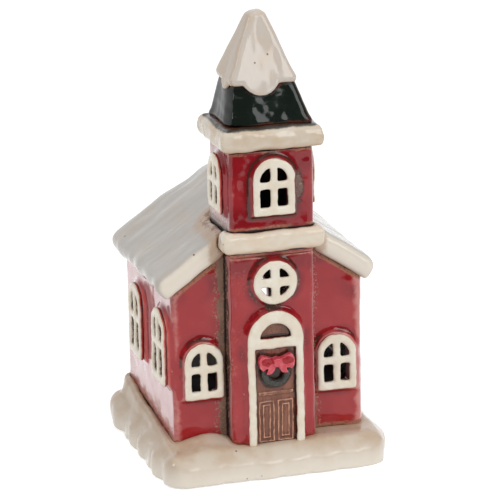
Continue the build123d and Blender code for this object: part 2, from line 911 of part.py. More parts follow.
def tealight_switch():
    """A slide switch in its slot, with a flange on the plate."""
    start = -slider_travel / 2
    half_x = slider_width / 2
    half_y = slider_length / 2
    nub = block(
        slider_offset - half_x, slider_offset + half_x, start - half_y, start + half_y,
        slider_recess, plate_thick,
    )
    wide_x = half_x + slider_flange
    wide_y = half_y + slider_flange
    flange = block(
        slider_offset - wide_x, slider_offset + wide_x, start - wide_y, start + wide_y,
        plate_thick, plate_thick + slider_flange_thick,
    )
    return tea_place * (nub + flange)


nodes = {
    "snow_base": snow_base(),
    "nave_walls": nave_walls(),
    "porch_walls": porch_walls(),
    "tower_walls": tower_walls(),
    "roof_snow_left": roof_side(-1),
    "roof_snow_right": roof_side(1),
    "porch_snow_ledge": porch_snow_ledge(),
    "tower_snow_crown": tower_snow_crown(),
    "spire": spire(),
    "spire_snow_cap": spire_snow_cap(),
    "round_window": window_panel(round_place),
    "door_surround": door_surround(),
    "fanlight": fanlight(),
    "door_leaf": door_leaf(),
    "wreath": wreath(),
    "bow": bow(),
    "tealight_cup": tealight_cup(),
    "tealight_base_plate": tealight_base_plate(),
    "tealight_flame": tealight_flame(),
    "tealight_led": tealight_led(),
    "tealight_coin_cell": tealight_coin_cell(),
    "tealight_battery_door": tealight_battery_door(),
    "tealight_switch": tealight_switch(),
}
for name, opening in {**nave_openings, **tower_openings}.items():
    nodes[name] = window_panel(opening)

os.makedirs("parts", exist_ok=True)
for name, solid in nodes.items():
    export_step(solid, f"parts/{name}.step")
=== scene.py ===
from math import radians, sin, cos
from types import SimpleNamespace

import bmesh
import bpy
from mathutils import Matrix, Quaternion, Vector


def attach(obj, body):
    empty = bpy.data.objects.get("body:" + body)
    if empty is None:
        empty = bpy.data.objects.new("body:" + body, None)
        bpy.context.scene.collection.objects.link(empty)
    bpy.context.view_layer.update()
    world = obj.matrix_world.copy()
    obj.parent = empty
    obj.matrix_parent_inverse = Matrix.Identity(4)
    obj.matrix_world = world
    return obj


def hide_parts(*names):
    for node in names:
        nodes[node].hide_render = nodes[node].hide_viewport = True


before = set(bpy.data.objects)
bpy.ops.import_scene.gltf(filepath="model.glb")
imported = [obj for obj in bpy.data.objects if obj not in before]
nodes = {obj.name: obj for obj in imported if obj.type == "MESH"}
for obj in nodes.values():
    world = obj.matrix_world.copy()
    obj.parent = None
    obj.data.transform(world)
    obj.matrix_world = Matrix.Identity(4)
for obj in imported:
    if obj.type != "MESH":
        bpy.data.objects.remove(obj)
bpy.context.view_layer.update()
scene = bpy.context.scene
mm = 0.001
print("frame loaded:", len(nodes), "nodes")


# small helpers for node trees, shared by geometry and shader trees
bench = SimpleNamespace(tree=None)  # the tree being built, which the helpers add to


def startGroup(name, kind):
    bench.tree = bpy.data.node_groups.new(name, kind)
    return bench.tree


def feed(socket, value):
    if isinstance(value, bpy.types.NodeSocket):
        bench.tree.links.new(value, socket)
    else:
        socket.default_value = value


def addNode(kind, inputs=None, **settings):  # a node with its inputs fed; gives back its outputs
    node = bench.tree.nodes.new(kind)
    for key, value in settings.items():
        setattr(node, key, value)
    for key, value in (inputs or {}).items():
        if value is not None:
            feed(node.inputs[key], value)
    return node.outputs


def calc(operation, a, b=None):
    return addNode("ShaderNodeMath", {0: a, 1: b}, operation=operation)[0]


def vecCalc(operation, a, b=None, scale=None):
    outputs = addNode("ShaderNodeVectorMath", {0: a, 1: b, "Scale": scale}, operation=operation)
    return outputs["Value" if operation in ("DOT_PRODUCT", "LENGTH") else "Vector"]


def split(vector):  # outputs X, Y and Z
    return addNode("ShaderNodeSeparateXYZ", {0: vector})


def plus(a, b):
    return calc("ADD", a, b)


def minus(a, b):
    return calc("SUBTRACT", a, b)


def times(*values):
    result = values[0]
    for value in values[1:]:
        result = calc("MULTIPLY", result, value)
    return result


def most(*values):
    result = values[0]
    for value in values[1:]:
        result = calc("MAXIMUM", result, value)
    return result


def invert(value):
    return minus(1.0, value)


def centred(value):  # noise from 0 to 1 becomes -0.5 to 0.5
    return minus(value, 0.5)


def ramp(value, low, high):  # smooth 0 to 1 between low and high
    inputs = {"Value": value, "From Min": low, "From Max": high}
    return addNode("ShaderNodeMapRange", inputs, interpolation_type="SMOOTHSTEP")["Result"]


def fall(value, low, high):  # smooth 1 to 0 between low and high
    return invert(ramp(value, low, high))


def noiseAt(vector, size, detail, roughness, seed):
    scale = calc("DIVIDE", 1.0, size) if isinstance(size, bpy.types.NodeSocket) else 1.0 / size
    inputs = {"Vector": vector, "W": seed, "Scale": scale, "Detail": detail, "Roughness": roughness}
    return addNode("ShaderNodeTexNoise", inputs, noise_dimensions="4D")


def addSockets(way, names, kind):
    for name in names:
        bench.tree.interface.new_socket(name, in_out=way, socket_type="NodeSocket" + kind)


# geometry tree that turns a CAD solid into hand-shaped pottery
handSettings = {
    "driftDetail": 1.0, "lumpDetail": 2.0, "noiseRoughness": 0.5, "swaySeed": 3.7, "swellPasses": 20,
    "footRise": 3,
}
handSockets = {
    "Int": ["Soft Passes", "Edge Passes"],
    "Float": ["Sway Size", "Sway Depth", "Wobble Size", "Wobble Depth", "Lump Size", "Lump Depth", "Grow",
              "Lean Low", "Lean High", "Arch Radius", "Seed"],
    "Vector": ["Stretch", "Out", "Lean", "Arch Middle", "Across", "Room Low", "Room High"],
    "Object": ["Seam Guide", "Corner Guide", "Rim Guide", "Swell Guide"],
    "Material": ["Finish"],
}


def handShapeTree(settings):
    look = SimpleNamespace(**settings)
    tree = startGroup("handShape", "GeometryNodeTree")
    addSockets("INPUT", ["Geometry"], "Geometry")
    for kind, names in handSockets.items():
        addSockets("INPUT", names, kind)
    addSockets("OUTPUT", ["Geometry"], "Geometry")
    given = addNode("NodeGroupInput")
    place = addNode("GeometryNodeInputPosition")[0]
    normal = addNode("GeometryNodeInputNormal")[0]

    def store(shape, name, value):
        inputs = {"Geometry": shape, "Name": name, "Value": value}
        kinds = {"data_type": "FLOAT", "domain": "POINT"}
        return addNode("GeometryNodeStoreNamedAttribute", inputs, **kinds)["Geometry"]

    def move(shape, position=None, offset=None):
        inputs = {"Geometry": shape, "Position": position, "Offset": offset}
        return addNode("GeometryNodeSetPosition", inputs)["Geometry"]

    def blurred(value, passes, kind="FLOAT_VECTOR"):
        inputs = {"Value": value, "Iterations": passes}
        return addNode("GeometryNodeBlurAttribute", inputs, data_type=kind)["Value"]

    def drift(size, depth, seed):  # a vector that wanders from place to place
        noise = noiseAt(place, size, look.driftDetail, look.noiseRoughness, seed)
        wander = vecCalc("SUBTRACT", noise["Color"], (0.5, 0.5, 0.5))
        return vecCalc("SCALE", wander, scale=times(depth, 2.0))

    def guideShape(guide):
        return addNode("GeometryNodeObjectInfo", {"Object": guide}, transform_space="ORIGINAL")["Geometry"]

    def distanceTo(guide):  # in millimetres
        near = addNode("GeometryNodeProximity", {0: guideShape(guide)}, target_element="FACES")
        return times(near["Distance"], 1.0 / mm)

    def nearestOf(shape, index, kind, value):  # a value at the nearest corner of a guide
        inputs = {"Geometry": shape, "Value": value, "Index": index}
        return addNode("GeometryNodeSampleIndex", inputs, data_type=kind, domain="POINT")[0]

    def stored(name):
        return addNode("GeometryNodeInputNamedAttribute", {"Name": name}, data_type="FLOAT")["Attribute"]

    def swellAt(guide):  # how far the nearest swell lifts the clay here
        shape = guideShape(guide)
        index = addNode("GeometryNodeSampleNearest", {"Geometry": shape}, domain="POINT")["Index"]
        centre = nearestOf(shape, index, "FLOAT_VECTOR", place)
        reach, lift = (nearestOf(shape, index, "FLOAT", stored(name)) for name in ("reach", "lift"))
        away = vecCalc("LENGTH", vecCalc("SUBTRACT", place, centre))
        return times(fall(away, 0.0, reach), lift)

    def leastPart(vector):
        parts = split(vector)
        return calc("MINIMUM", calc("MINIMUM", parts["X"], parts["Y"]), parts["Z"])

    # what the glazes need to know, measured on the solid before it is bent
    shape = given["Geometry"]
    for name in ("Seam", "Corner", "Rim"):
        shape = store(shape, name.lower(), distanceTo(given[name + " Guide"]))
    aboveLow = leastPart(vecCalc("SUBTRACT", place, given["Room Low"]))
    belowHigh = leastPart(vecCalc("SUBTRACT", given["Room High"], place))
    depthIn = calc("MINIMUM", aboveLow, belowHigh)
    # marks the inside of the house, which the finishes paint dark as its shade
    shape = store(shape, "inside", calc("GREATER_THAN", depthIn, 0.0))
    fromMiddle = vecCalc("SUBTRACT", place, given["Arch Middle"])
    upright = vecCalc("DOT_PRODUCT", fromMiddle, (0.0, 0.0, 1.0))
    spread = addNode("ShaderNodeCombineXYZ", {
        "X": vecCalc("DOT_PRODUCT", fromMiddle, given["Across"]), "Y": most(upright, 0.0),
    })
    inFrom = minus(given["Arch Radius"], vecCalc("LENGTH", spread[0]))
    shape = store(shape, "outline", times(inFrom, 1.0 / mm))

    # soften, lean, sway, wobble, then lumps and swells along the normal
    level = split(place)["Z"]
    leaning = ramp(level, given["Lean Low"], given["Lean High"])
    shape = move(shape, position=blurred(place, given["Soft Passes"]))
    shape = move(shape, offset=vecCalc("SCALE", given["Lean"], scale=leaning))
    shape = move(shape, offset=drift(given["Sway Size"], given["Sway Depth"], look.swaySeed))
    shape = move(shape, offset=drift(given["Wobble Size"], given["Wobble Depth"], given["Seed"]))
    stretched = vecCalc("MULTIPLY", place, given["Stretch"])
    noise = noiseAt(stretched, given["Lump Size"], look.lumpDetail, look.noiseRoughness, given["Seed"])
    lump = times(centred(noise[0]), given["Lump Depth"], 2.0)
    swell = blurred(swellAt(given["Swell Guide"]), look.swellPasses, "FLOAT")
    lifted = vecCalc("SCALE", normal, scale=plus(plus(lump, swell), given["Grow"]))
    offTable = addNode("ShaderNodeCombineXYZ", {  # the foot may move sideways but not up or down
        "X": 1.0, "Y": 1.0, "Z": ramp(level, 0.0, look.footRise * mm),
    })
    shape = move(shape, offset=vecCalc("MULTIPLY", lifted, offTable[0]))
    bulge = vecCalc("SUBTRACT", place, blurred(place, given["Edge Passes"]))
    shape = store(shape, "edge", times(vecCalc("DOT_PRODUCT", bulge, normal), 1.0 / mm))
    shape = store(shape, "front", vecCalc("DOT_PRODUCT", normal, given["Out"]))
    smooth = addNode("GeometryNodeSetShadeSmooth", {"Geometry": shape})["Geometry"]
    real = addNode("GeometryNodeRealizeInstances", {"Geometry": smooth})["Geometry"]
    glazed = addNode("GeometryNodeSetMaterial", {"Geometry": real, "Material": given["Finish"]})["Geometry"]
    addNode("NodeGroupOutput", {"Geometry": glazed})
    return tree


handShape = handShapeTree(handSettings)
print("tree built: handShape")


# shader helpers; in settings a noise is its size in mm, detail, roughness and seed,
# a step is where it begins and ends, a band is a step up and a step down,
# and a break of the glaze is its raggedness and grain in mm and its seed
def paint(red, green, blue):  # a colour as seen on screen, 0 to 255
    def linear(value):
        share = value / 255
        return share / 12.92 if share <= 0.04045 else ((share + 0.055) / 1.055) ** 2.4
    return (linear(red), linear(green), linear(blue), 1.0)


def mixColour(mask, first, second):
    return addNode("ShaderNodeMix", {0: mask, 6: first, 7: second}, data_type="RGBA")[2]


def mixValue(mask, first, second):
    return addNode("ShaderNodeMix", {0: mask, 2: first, 3: second}, data_type="FLOAT")[0]


def layered(colour, coats):  # coats from the lowest up, each a mask and a colour
    for mask, coat in coats:
        colour = mixColour(mask, colour, coat)
    return colour


def attribute(name):
    return addNode("ShaderNodeAttribute", attribute_name=name)["Fac"]


def objectPlace():
    return addNode("ShaderNodeTexCoord")["Object"]


def normalParts():
    return split(addNode("ShaderNodeNewGeometry")["Normal"])


def seenAtSlant(step):  # 1 where the surface turns away from the eye
    return ramp(addNode("ShaderNodeLayerWeight")["Facing"], *step)


def grain(place, noise):
    size, detail, roughness, seed = noise
    return noiseAt(place, size * mm, detail, roughness, seed)[0]


def patches(place, noise, step):
    return ramp(grain(place, noise), *step)


def stepAt(value, step):  # along a place, with the step in mm
    return ramp(value, *(end * mm for end in step))


def band(value, ends):
    return times(ramp(value, *ends[:2]), fall(value, *ends[2:]))


blobSettings = {"noise": (2.4, 4.0, 0.6), "rim": (0.75, 1.0)}


def blob(place, centre, radii, ragged, seed):  # 1 inside a ragged patch, sizes in mm
    shifted = vecCalc("SUBTRACT", place, tuple(c * mm for c in centre))
    scaled = vecCalc("MULTIPLY", shifted, tuple(1.0 / (r * mm) for r in radii))
    rough = centred(grain(place, (*blobSettings["noise"], seed)))
    reachOut = plus(vecCalc("LENGTH", scaled), times(rough, 2.0 * ragged))
    return fall(reachOut, *blobSettings["rim"])


# glaze that breaks over edges, pools in hollows and crusts along seams; distances in mm
breakSettings = {
    "roughDetail": 4.0, "roughness": 0.65, "fineSize": 0.9, "fineDetail": 2.0, "fineRoughness": 0.6,
    "thinBend": 0.35, "thin": (0.1, 0.42), "poolBend": 0.3, "pool": (0.06, 0.36), "crustFrom": 0.7,
    "lineBend": 0.9, "line": (0.25, 0.8), "fleck": (0.0, 0.16),
}


def glazeBreakGroup(settings):
    look = SimpleNamespace(**settings)
    tree = startGroup("glazeBreak", "ShaderNodeTree")
    addSockets("INPUT", ["Edge", "Seam", "Width", "Ragged", "Grain", "Seed"], "Float")
    addSockets("OUTPUT", ["Thin", "Pool", "Crust", "Line", "Fleck"], "Float")
    given = addNode("NodeGroupInput")
    place = objectPlace()
    edge, seam, width, seed = (given[name] for name in ("Edge", "Seam", "Width", "Seed"))
    coarse = noiseAt(place, given["Grain"], look.roughDetail, look.roughness, seed)
    rough = centred(coarse[0])
    fine = grain(place, (look.fineSize, look.fineDetail, look.fineRoughness, seed))
    away = plus(seam, times(rough, 2.0, given["Ragged"]))
    addNode("NodeGroupOutput", {
        "Thin": ramp(plus(edge, times(rough, look.thinBend)), *look.thin),
        "Pool": ramp(minus(times(rough, look.poolBend), edge), *look.pool),
        "Crust": fall(away, times(width, look.crustFrom), width),
        "Line": fall(plus(seam, times(rough, look.lineBend)), *look.line),
        "Fleck": ramp(centred(fine), *look.fleck),
    })
    return tree


# scattered iron specks; size in mm
speckleSettings = {"size": 3.4, "amount": 0.02, "dot": (0.08, 0.2)}


def kilnSpeckleGroup(settings):
    look = SimpleNamespace(**settings)
    tree = startGroup("kilnSpeckle", "ShaderNodeTree")
    addSockets("INPUT", ["Size", "Amount"], "Float")
    addSockets("OUTPUT", ["Specks"], "Float")
    given = addNode("NodeGroupInput")
    inputs = {"Vector": objectPlace(), "Scale": calc("DIVIDE", 1.0, given["Size"])}
    cells = addNode("ShaderNodeTexVoronoi", inputs)
    chance = addNode("ShaderNodeSeparateColor", {0: cells["Color"]})[0]
    chosen = calc("LESS_THAN", chance, given["Amount"])
    dot = fall(cells["Distance"], *look.dot)
    addNode("NodeGroupOutput", {"Specks": times(dot, chosen)})
    return tree


# slow waves of hand work and the fine skin of the glaze, in metres
waveSettings = {"detail": 2.0, "roughness": 0.5}


def handWavesGroup(settings):
    look = SimpleNamespace(**settings)
    tree = startGroup("handWaves", "ShaderNodeTree")
    addSockets("INPUT", ["Wave Size", "Wave Depth", "Skin Size", "Skin Depth", "Seed"], "Float")
    addSockets("INPUT", ["Stretch"], "Vector")
    addSockets("OUTPUT", ["Height"], "Float")
    given = addNode("NodeGroupInput")
    place = objectPlace()
    stretched = vecCalc("MULTIPLY", place, given["Stretch"])

    def relief(vector, part):
        noise = noiseAt(vector, given[part + " Size"], look.detail, look.roughness, given["Seed"])
        return times(noise[0], given[part + " Depth"])

    addNode("NodeGroupOutput", {"Height": plus(relief(stretched, "Wave"), relief(place, "Skin"))})
    return tree


glazeBreak = glazeBreakGroup(breakSettings)
kilnSpeckle = kilnSpeckleGroup(speckleSettings)
handWaves = handWavesGroup(waveSettings)
print("shader groups built")


def groupIn(group, values):
    return addNode("ShaderNodeGroup", values, node_tree=group)


def breakAlong(edge, seam, width, given):
    ragged, size, seed = given
    values = {"Edge": edge, "Seam": seam, "Width": width, "Ragged": ragged, "Grain": size * mm, "Seed": seed}
    return groupIn(glazeBreak, values)


def waveHeight(settings):
    (waveSize, waveDepth), (skinSize, skinDepth) = settings["wave"], settings["skin"]
    return groupIn(handWaves, {
        "Wave Size": waveSize * mm, "Wave Depth": waveDepth * mm, "Skin Size": skinSize * mm,
        "Skin Depth": skinDepth * mm, "Seed": settings["waveSeed"], "Stretch": settings["stretch"],
    })["Height"]


def newMaterial(name, ior=1.5):
    material = bpy.data.materials.new(name)
    material.use_nodes = True
    bench.tree = material.node_tree
    shader = bench.tree.nodes["Principled BSDF"]
    shader.inputs["IOR"].default_value = ior
    return material, shader


def dress(shader, colour, roughness, height):  # height in metres
    feed(shader.inputs["Base Color"], colour)
    feed(shader.inputs["Roughness"], roughness)
    bump = addNode("ShaderNodeBump", {"Distance": 1.0, "Strength": 1.0, "Height": height})
    feed(shader.inputs["Normal"], bump["Normal"])


# red glaze of the walls
redSettings = {
    "body": paint(168, 26, 34), "cloud": paint(178, 44, 48), "deep": paint(128, 0, 16),
    "thin": paint(216, 142, 134), "crust": paint(178, 118, 92), "burnt": paint(70, 36, 26),
    "clay": paint(164, 130, 112), "claySpot": paint(186, 142, 114), "line": paint(34, 18, 14),
    "room": paint(34, 22, 17), "bloomTint": paint(214, 156, 158), "padRed": paint(202, 64, 56),
    "clouds": (17, 2.0, 0.5, 2.0), "cloudStep": (0.4, 0.66), "blots": (7, 2.0, 0.5, 5.0),
    "specks": (1.2, 3.0, 0.6, 8.0), "speckStep": (0.54, 0.62), "edgeGain": 1.4, "thinShare": 0.85,
    "jointBreak": (1.3, 2.6, 1.0), "seamWidth": 2.8, "crustStep": (0.35, 0.6), "fleckShare": 0.6,
    "stripBreak": (1.5, 2.0, 4.0), "cornerLeft": 4.6, "cornerRight": 3.6, "cornerLeast": 0.45,
    "cornerMore": 0.7, "spread": (13, 1.0, 0.5, 7.0), "spreadStep": (0.3, 0.7),
    "haloBreak": (2.0, 2.0, 4.0), "haloWidth": 2.2, "haloShare": 0.9, "ringFoot": (40, 48),
    "sideReach": (41, 42), "ringBand": (0.4, 1.4, 2.6, 6.5), "ringStep": (0.36, 0.58), "rimRagged": 2.6,
    "burntBand": (1.5, 1.9, 2.9, 3.4), "burntStep": (0.42, 0.56), "burntFoot": (0, 3), "burntShare": 0.85,
    "ochreBand": (1.9, 2.5, 2.7, 3.4), "ochreStep": (0.52, 0.62), "ochreShare": 0.7,
    "eaveBand": (1.0, 3.0, 7.0, 15.0), "eaveStep": (0.42, 0.56), "eaveFoot": (60, 80), "eaveShare": 0.9,
    "poolShare": 0.85, "padReach": (44.5, 45.2), "padFace": (-0.2, -0.5), "scar": (12.6, -44.0, 132.5),
    "scarSize": (2.0, 5.0, 7.0), "scarRim": 1.3, "scarRagged": 0.9, "scarSeed": 9.0, "scarShare": 0.8,
    "stainStep": (0.4, 0.62), "stainSpecks": (0.3, 0.55), "stainShare": 0.45, "slant": (0.45, 0.7),
    "coatRough": 0.22, "bloom": 0.8, "bloomSeam": (1.5, 5.0), "bloomFoot": (45, 55), "gloss": 0.06,
    "rough": 0.75, "bareDry": 0.8, "crustDry": 0.35, "grit": (0.8, 3.0, 0.6, 6.0), "gritDepth": 0.35,
    "wave": (15, 0.22), "skin": (2.0, 0.012), "waveSeed": 3.0, "stretch": (1.0, 1.0, 0.5),
}


def redFinish(name, settings):
    look = SimpleNamespace(**settings)
    material, shader = newMaterial(name)
    place = objectPlace()
    spot, facing = split(place), normalParts()
    aside = calc("ABSOLUTE", spot["X"])
    edge, seam, corner, rim, inside = (
        attribute(part) for part in ("edge", "seam", "corner", "rim", "inside")
    )
    clouds, blots, specks = (grain(place, settings[part]) for part in ("clouds", "blots", "specks"))
    spots = ramp(specks, *look.speckStep)

    # glaze that breaks along joints, its pale thin edges made stronger as a painted highlight on the corners,
    # bare clay beside the porch and a halo of flecks round it
    sharp = times(edge, look.edgeGain)
    joint = breakAlong(sharp, seam, look.seamWidth, look.jointBreak)
    onLeft = calc("LESS_THAN", spot["X"], 0.0)
    cornerWidth = mixValue(onLeft, look.cornerRight, look.cornerLeft)
    spread = patches(place, look.spread, look.spreadStep)
    wider = plus(look.cornerLeast, times(spread, look.cornerMore))
    cornerWidth = times(cornerWidth, wider)
    strip = breakAlong(edge, corner, cornerWidth, look.stripBreak)
    haloWidth = plus(cornerWidth, look.haloWidth)
    halo = breakAlong(edge, corner, haloWidth, look.haloBreak)

    # rings round the front windows' heads: a deeper red that is partly pooled glaze and partly painted dark
    # reflection, a burnt line and ochre specks
    notSide = invert(stepAt(aside, look.sideReach))
    arch = times(stepAt(spot["Z"], look.ringFoot), notSide)
    ring = times(band(rim, look.ringBand), arch)
    # deeper red round the window heads: pooled glaze and painted dark reflection
    ringPoolAndDarkReflection = times(ring, ramp(blots, *look.ringStep))
    raggedRim = plus(rim, times(centred(specks), look.rimRagged))
    burntLine = times(band(raggedRim, look.burntBand), ramp(blots, *look.burntStep))
    burnt = times(burntLine, arch, stepAt(spot["Z"], look.burntFoot))
    ochre = times(band(rim, look.ochreBand), spots, ramp(blots, *look.ochreStep))

    # deeper red under the eaves, partly glaze runs and partly painted dark reflection; painted light on the
    # front-facing sides of the side windows' raised edges; and one scar where the glaze crawled
    # deeper red under the eaves: glaze runs and painted dark reflection
    eaveRunAndDarkReflection = times(band(seam, look.eaveBand), ramp(clouds, *look.eaveStep))
    eaveRunAndDarkReflection = times(eaveRunAndDarkReflection, stepAt(spot["Z"], look.eaveFoot), look.eaveShare)
    pooledAndDarkReflection = most(ringPoolAndDarkReflection, joint["Pool"], eaveRunAndDarkReflection)
    # painted light: on the side walls, the raised sides that face the front are made a lighter red
    paintedLightPadSide = times(stepAt(aside, look.padReach), ramp(facing["Y"], *look.padFace))
    scarRim, scar = (
        blob(place, look.scar, tuple(size * grown for size in look.scarSize),
             look.scarRagged, look.scarSeed)
        for grown in (look.scarRim, 1.0)
    )
    bare = most(strip["Crust"], scar)

    # painted reflection: a pale tint where the wall is seen at a slant, standing in for the bright room
    # mirrored there; and a second gloss there
    slanted = seenAtSlant(look.slant)
    feed(shader.inputs["Coat Weight"], slanted)
    shader.inputs["Coat Roughness"].default_value = look.coatRough
    offFoot = most(ramp(seam, *look.bloomSeam), stepAt(spot["Z"], look.bloomFoot))
    bloom = times(slanted, look.bloom, offFoot, invert(bare))

    stained = times(ramp(blots, *look.stainStep), ramp(specks, *look.stainSpecks))
    clay = layered(look.clay, [(times(stained, look.stainShare), look.burnt), (spots, look.claySpot)])
    colour = layered(look.body, [
        (ramp(clouds, *look.cloudStep), look.cloud),
        # deep red: pooled glaze in creases, and painted dark reflection round window heads and under the
        # eaves
        (times(pooledAndDarkReflection, look.poolShare), look.deep),
        # painted light on the front-facing raised sides of the side windows
        (paintedLightPadSide, look.padRed),
        # paler thin glaze on edges, made stronger as a painted highlight on the corners
        (times(joint["Thin"], look.thinShare), look.thin),
        (times(joint["Crust"], ramp(blots, *look.crustStep)), look.crust),
        (times(joint["Crust"], joint["Fleck"], look.fleckShare), look.burnt),
        (times(ochre, look.ochreShare), look.claySpot),
        (times(burnt, look.burntShare), look.burnt),
        (times(halo["Crust"], halo["Fleck"], look.haloShare), look.claySpot),
        (times(scarRim, look.scarShare), look.burnt),
        (bare, clay),
        (most(joint["Line"], strip["Line"]), look.line),
        # painted reflection: a pale tint on walls seen at a slant
        (bloom, look.bloomTint),
        # painted shade: the inside of the house made dark
        (inside, look.room),
    ])
    dry = most(times(bare, look.bareDry), times(joint["Crust"], look.crustDry), inside)
    roughness = mixValue(dry, look.gloss, look.rough)
    grit = times(grain(place, look.grit), bare, look.gritDepth * mm)
    dress(shader, colour, roughness, plus(waveHeight(settings), grit))
    return material


naveRed = redFinish("naveRed", redSettings)
porchRed = redFinish("porchRed", {
    **redSettings, "cornerLeft": 7.5, "cornerRight": 2.0, "ringFoot": (50, 58), "burntStep": (0.36, 0.5),
    "burntFoot": (80, 83), "edgeGain": 1.0, "clay": paint(76, 44, 34),
    "scar": (-0.6, -45.0, 78.2), "scarSize": (3.8, 5.0, 1.9),
})
towerRed = redFinish("towerRed", {
    **redSettings, "body": paint(152, 14, 26), "cloud": paint(162, 36, 42), "clay": paint(132, 104, 96),
    "bloom": 0.4, "bloomFoot": (300, 310), "ringFoot": (0, 8), "sideReach": (16, 17),
    "burntStep": (0.24, 0.38), "cornerLeft": 3.6, "cornerRight": 2.4, "seamWidth": 2.0, "edgeGain": 1.0,
    "wave": (15, 0.12), "stretch": (1.0, 1.0, 0.16),
})

# cream-white glaze of the snow, one finish for each part that carries it
snowSettings = {
    "cool": paint(194, 189, 183), "warm": paint(200, 185, 166), "crease": paint(166, 154, 141),
    "border": paint(206, 178, 148), "brown": paint(88, 54, 38), "smear": paint(140, 92, 64),
    "room": paint(40, 28, 22), "face": paint(248, 238, 222), "flank": paint(182, 156, 128),
    "foot": paint(250, 243, 230), "brim": paint(252, 248, 242), "stain": paint(196, 166, 138),
    "jointBreak": (0.8, 3.0, 11.0), "seamWidth": 1.4, "thinShare": 0.4, "creaseShare": 0.5,
    "borderShare": 0.75, "lineShare": 0.9, "stainBreak": (3.2, 4.0, 12.0), "stainWidth": 9.0,
    "stainSlope": (-1.0, -0.5), "stainShare": 0.75, "smearBreak": (2.6, 2.4, 13.0), "smearWidth": 0.55,
    "smears": (3.2, 3.0, 0.6, 18.0), "smearStep": (0.42, 0.6), "smearShare": 0.8, "cloudSize": 16,
    "cloudNoise": (3.0, 0.55, 14.0), "cloudStep": (0.38, 0.66), "cloudShare": 0.45,
    "warmUnder": (-0.75, -0.2), "underShare": 0.8, "faceStep": (0.25, 0.95), "faceShare": 0.0,
    "flankStep": (0.35, 0.8), "flankShare": 0.0, "footStep": (0.5, 16), "footShare": 0.0,
    "brimStep": (0.74, 0.97), "brimShare": 0.0, "roomSlope": (-3.0, -2.0), "pinholes": [],
    "pinholeSize": (0.55, 1.6, 0.55), "pinholeRagged": 0.1, "pinholeSeed": 15.0, "speckShare": 0.85,
    "gloss": 0.09, "shines": (9, 2.0, 0.5, 16.0), "shineStep": (0.35, 0.65), "shineGain": 2,
    "roomRough": 0.8, "wave": (13, 0.22), "skin": (2.0, 0.02), "waveSeed": 17.0, "stretch": (0.3, 1.0, 0.3),
}


def snowFinish(name, settings):
    look = SimpleNamespace(**settings)
    material, shader = newMaterial(name)
    place = objectPlace()
    slope = normalParts()
    edge, seam, corner, front = (attribute(part) for part in ("edge", "seam", "corner", "front"))
    joint = breakAlong(edge, seam, look.seamWidth, look.jointBreak)
    stain = breakAlong(edge, corner, look.stainWidth, look.stainBreak)
    smudge = breakAlong(edge, corner, look.stainWidth * look.smearWidth, look.smearBreak)
    smeared = patches(place, look.smears, look.smearStep)
    clouds = patches(place, (look.cloudSize, *look.cloudNoise), look.cloudStep)
    under = fall(slope["Z"], *look.warmUnder)
    # the inside of the house, painted dark as shade
    inside = times(attribute("inside"), ramp(slope["Z"], *look.roomSlope))
    sideways = ramp(calc("ABSOLUTE", slope["X"]), *look.flankStep)
    # the lowest part, lit from below by the table
    low = invert(stepAt(split(place)["Z"], look.footStep))
    stainable = ramp(slope["Z"], *look.stainSlope)
    warm = most(times(clouds, look.cloudShare), times(joint["Thin"], look.thinShare),
                times(under, look.underShare))
    specks = groupIn(kilnSpeckle, {
        "Size": speckleSettings["size"] * mm, "Amount": speckleSettings["amount"],
    })["Specks"]
    for pinhole in look.pinholes:
        hole = blob(place, pinhole, look.pinholeSize, look.pinholeRagged, look.pinholeSeed)
        specks = most(specks, hole)
    colour = layered(look.cool, [
        (warm, look.warm),
        (times(joint["Pool"], look.creaseShare), look.crease),
        # painted light: faces turned to the front made lighter
        (times(ramp(front, *look.faceStep), look.faceShare), look.face),
        (times(joint["Crust"], look.borderShare), look.border),
        # painted shade: faces turned to the sides made darker and warmer
        (times(sideways, look.flankShare), look.flank),
        # painted light: the lowest part made lighter, as lit by the bright table
        (times(low, look.footShare), look.foot),
        (times(stain["Crust"], stainable, look.stainShare), look.stain),
        (times(smudge["Crust"], smeared, look.smearShare), look.smear),
        (times(joint["Line"], look.lineShare), look.brown),
        (times(specks, look.speckShare), look.brown),
        # painted reflection: near white where the surface is seen at a slant
        (times(seenAtSlant(look.brimStep), look.brimShare), look.brim),
        # painted shade: the inside of the house made dark
        (inside, look.room),
    ])
    dull = patches(place, look.shines, look.shineStep)
    shine = mixValue(dull, look.gloss, look.gloss * look.shineGain)
    roughness = mixValue(inside, shine, look.roomRough)
    dress(shader, colour, roughness, waveHeight(settings))
    return material


rollSettings = {
    **snowSettings, "seamWidth": 2.0, "warmUnder": (-0.75, 0.2), "wave": (13, 0.3),
    "stretch": (0.5, 1.0, 1.0),
}
roofSnow = snowFinish("roofSnow", {
    **snowSettings, "faceShare": 0.85, "roomSlope": (0.1, -0.3), "wave": (9, 0.8), "gloss": 0.07,
})
rollSnow = snowFinish("rollSnow", {
    **rollSettings, "cool": paint(238, 226, 208), "warm": paint(230, 206, 176), "stainWidth": 0.1,
    "cloudShare": 0.6,
})
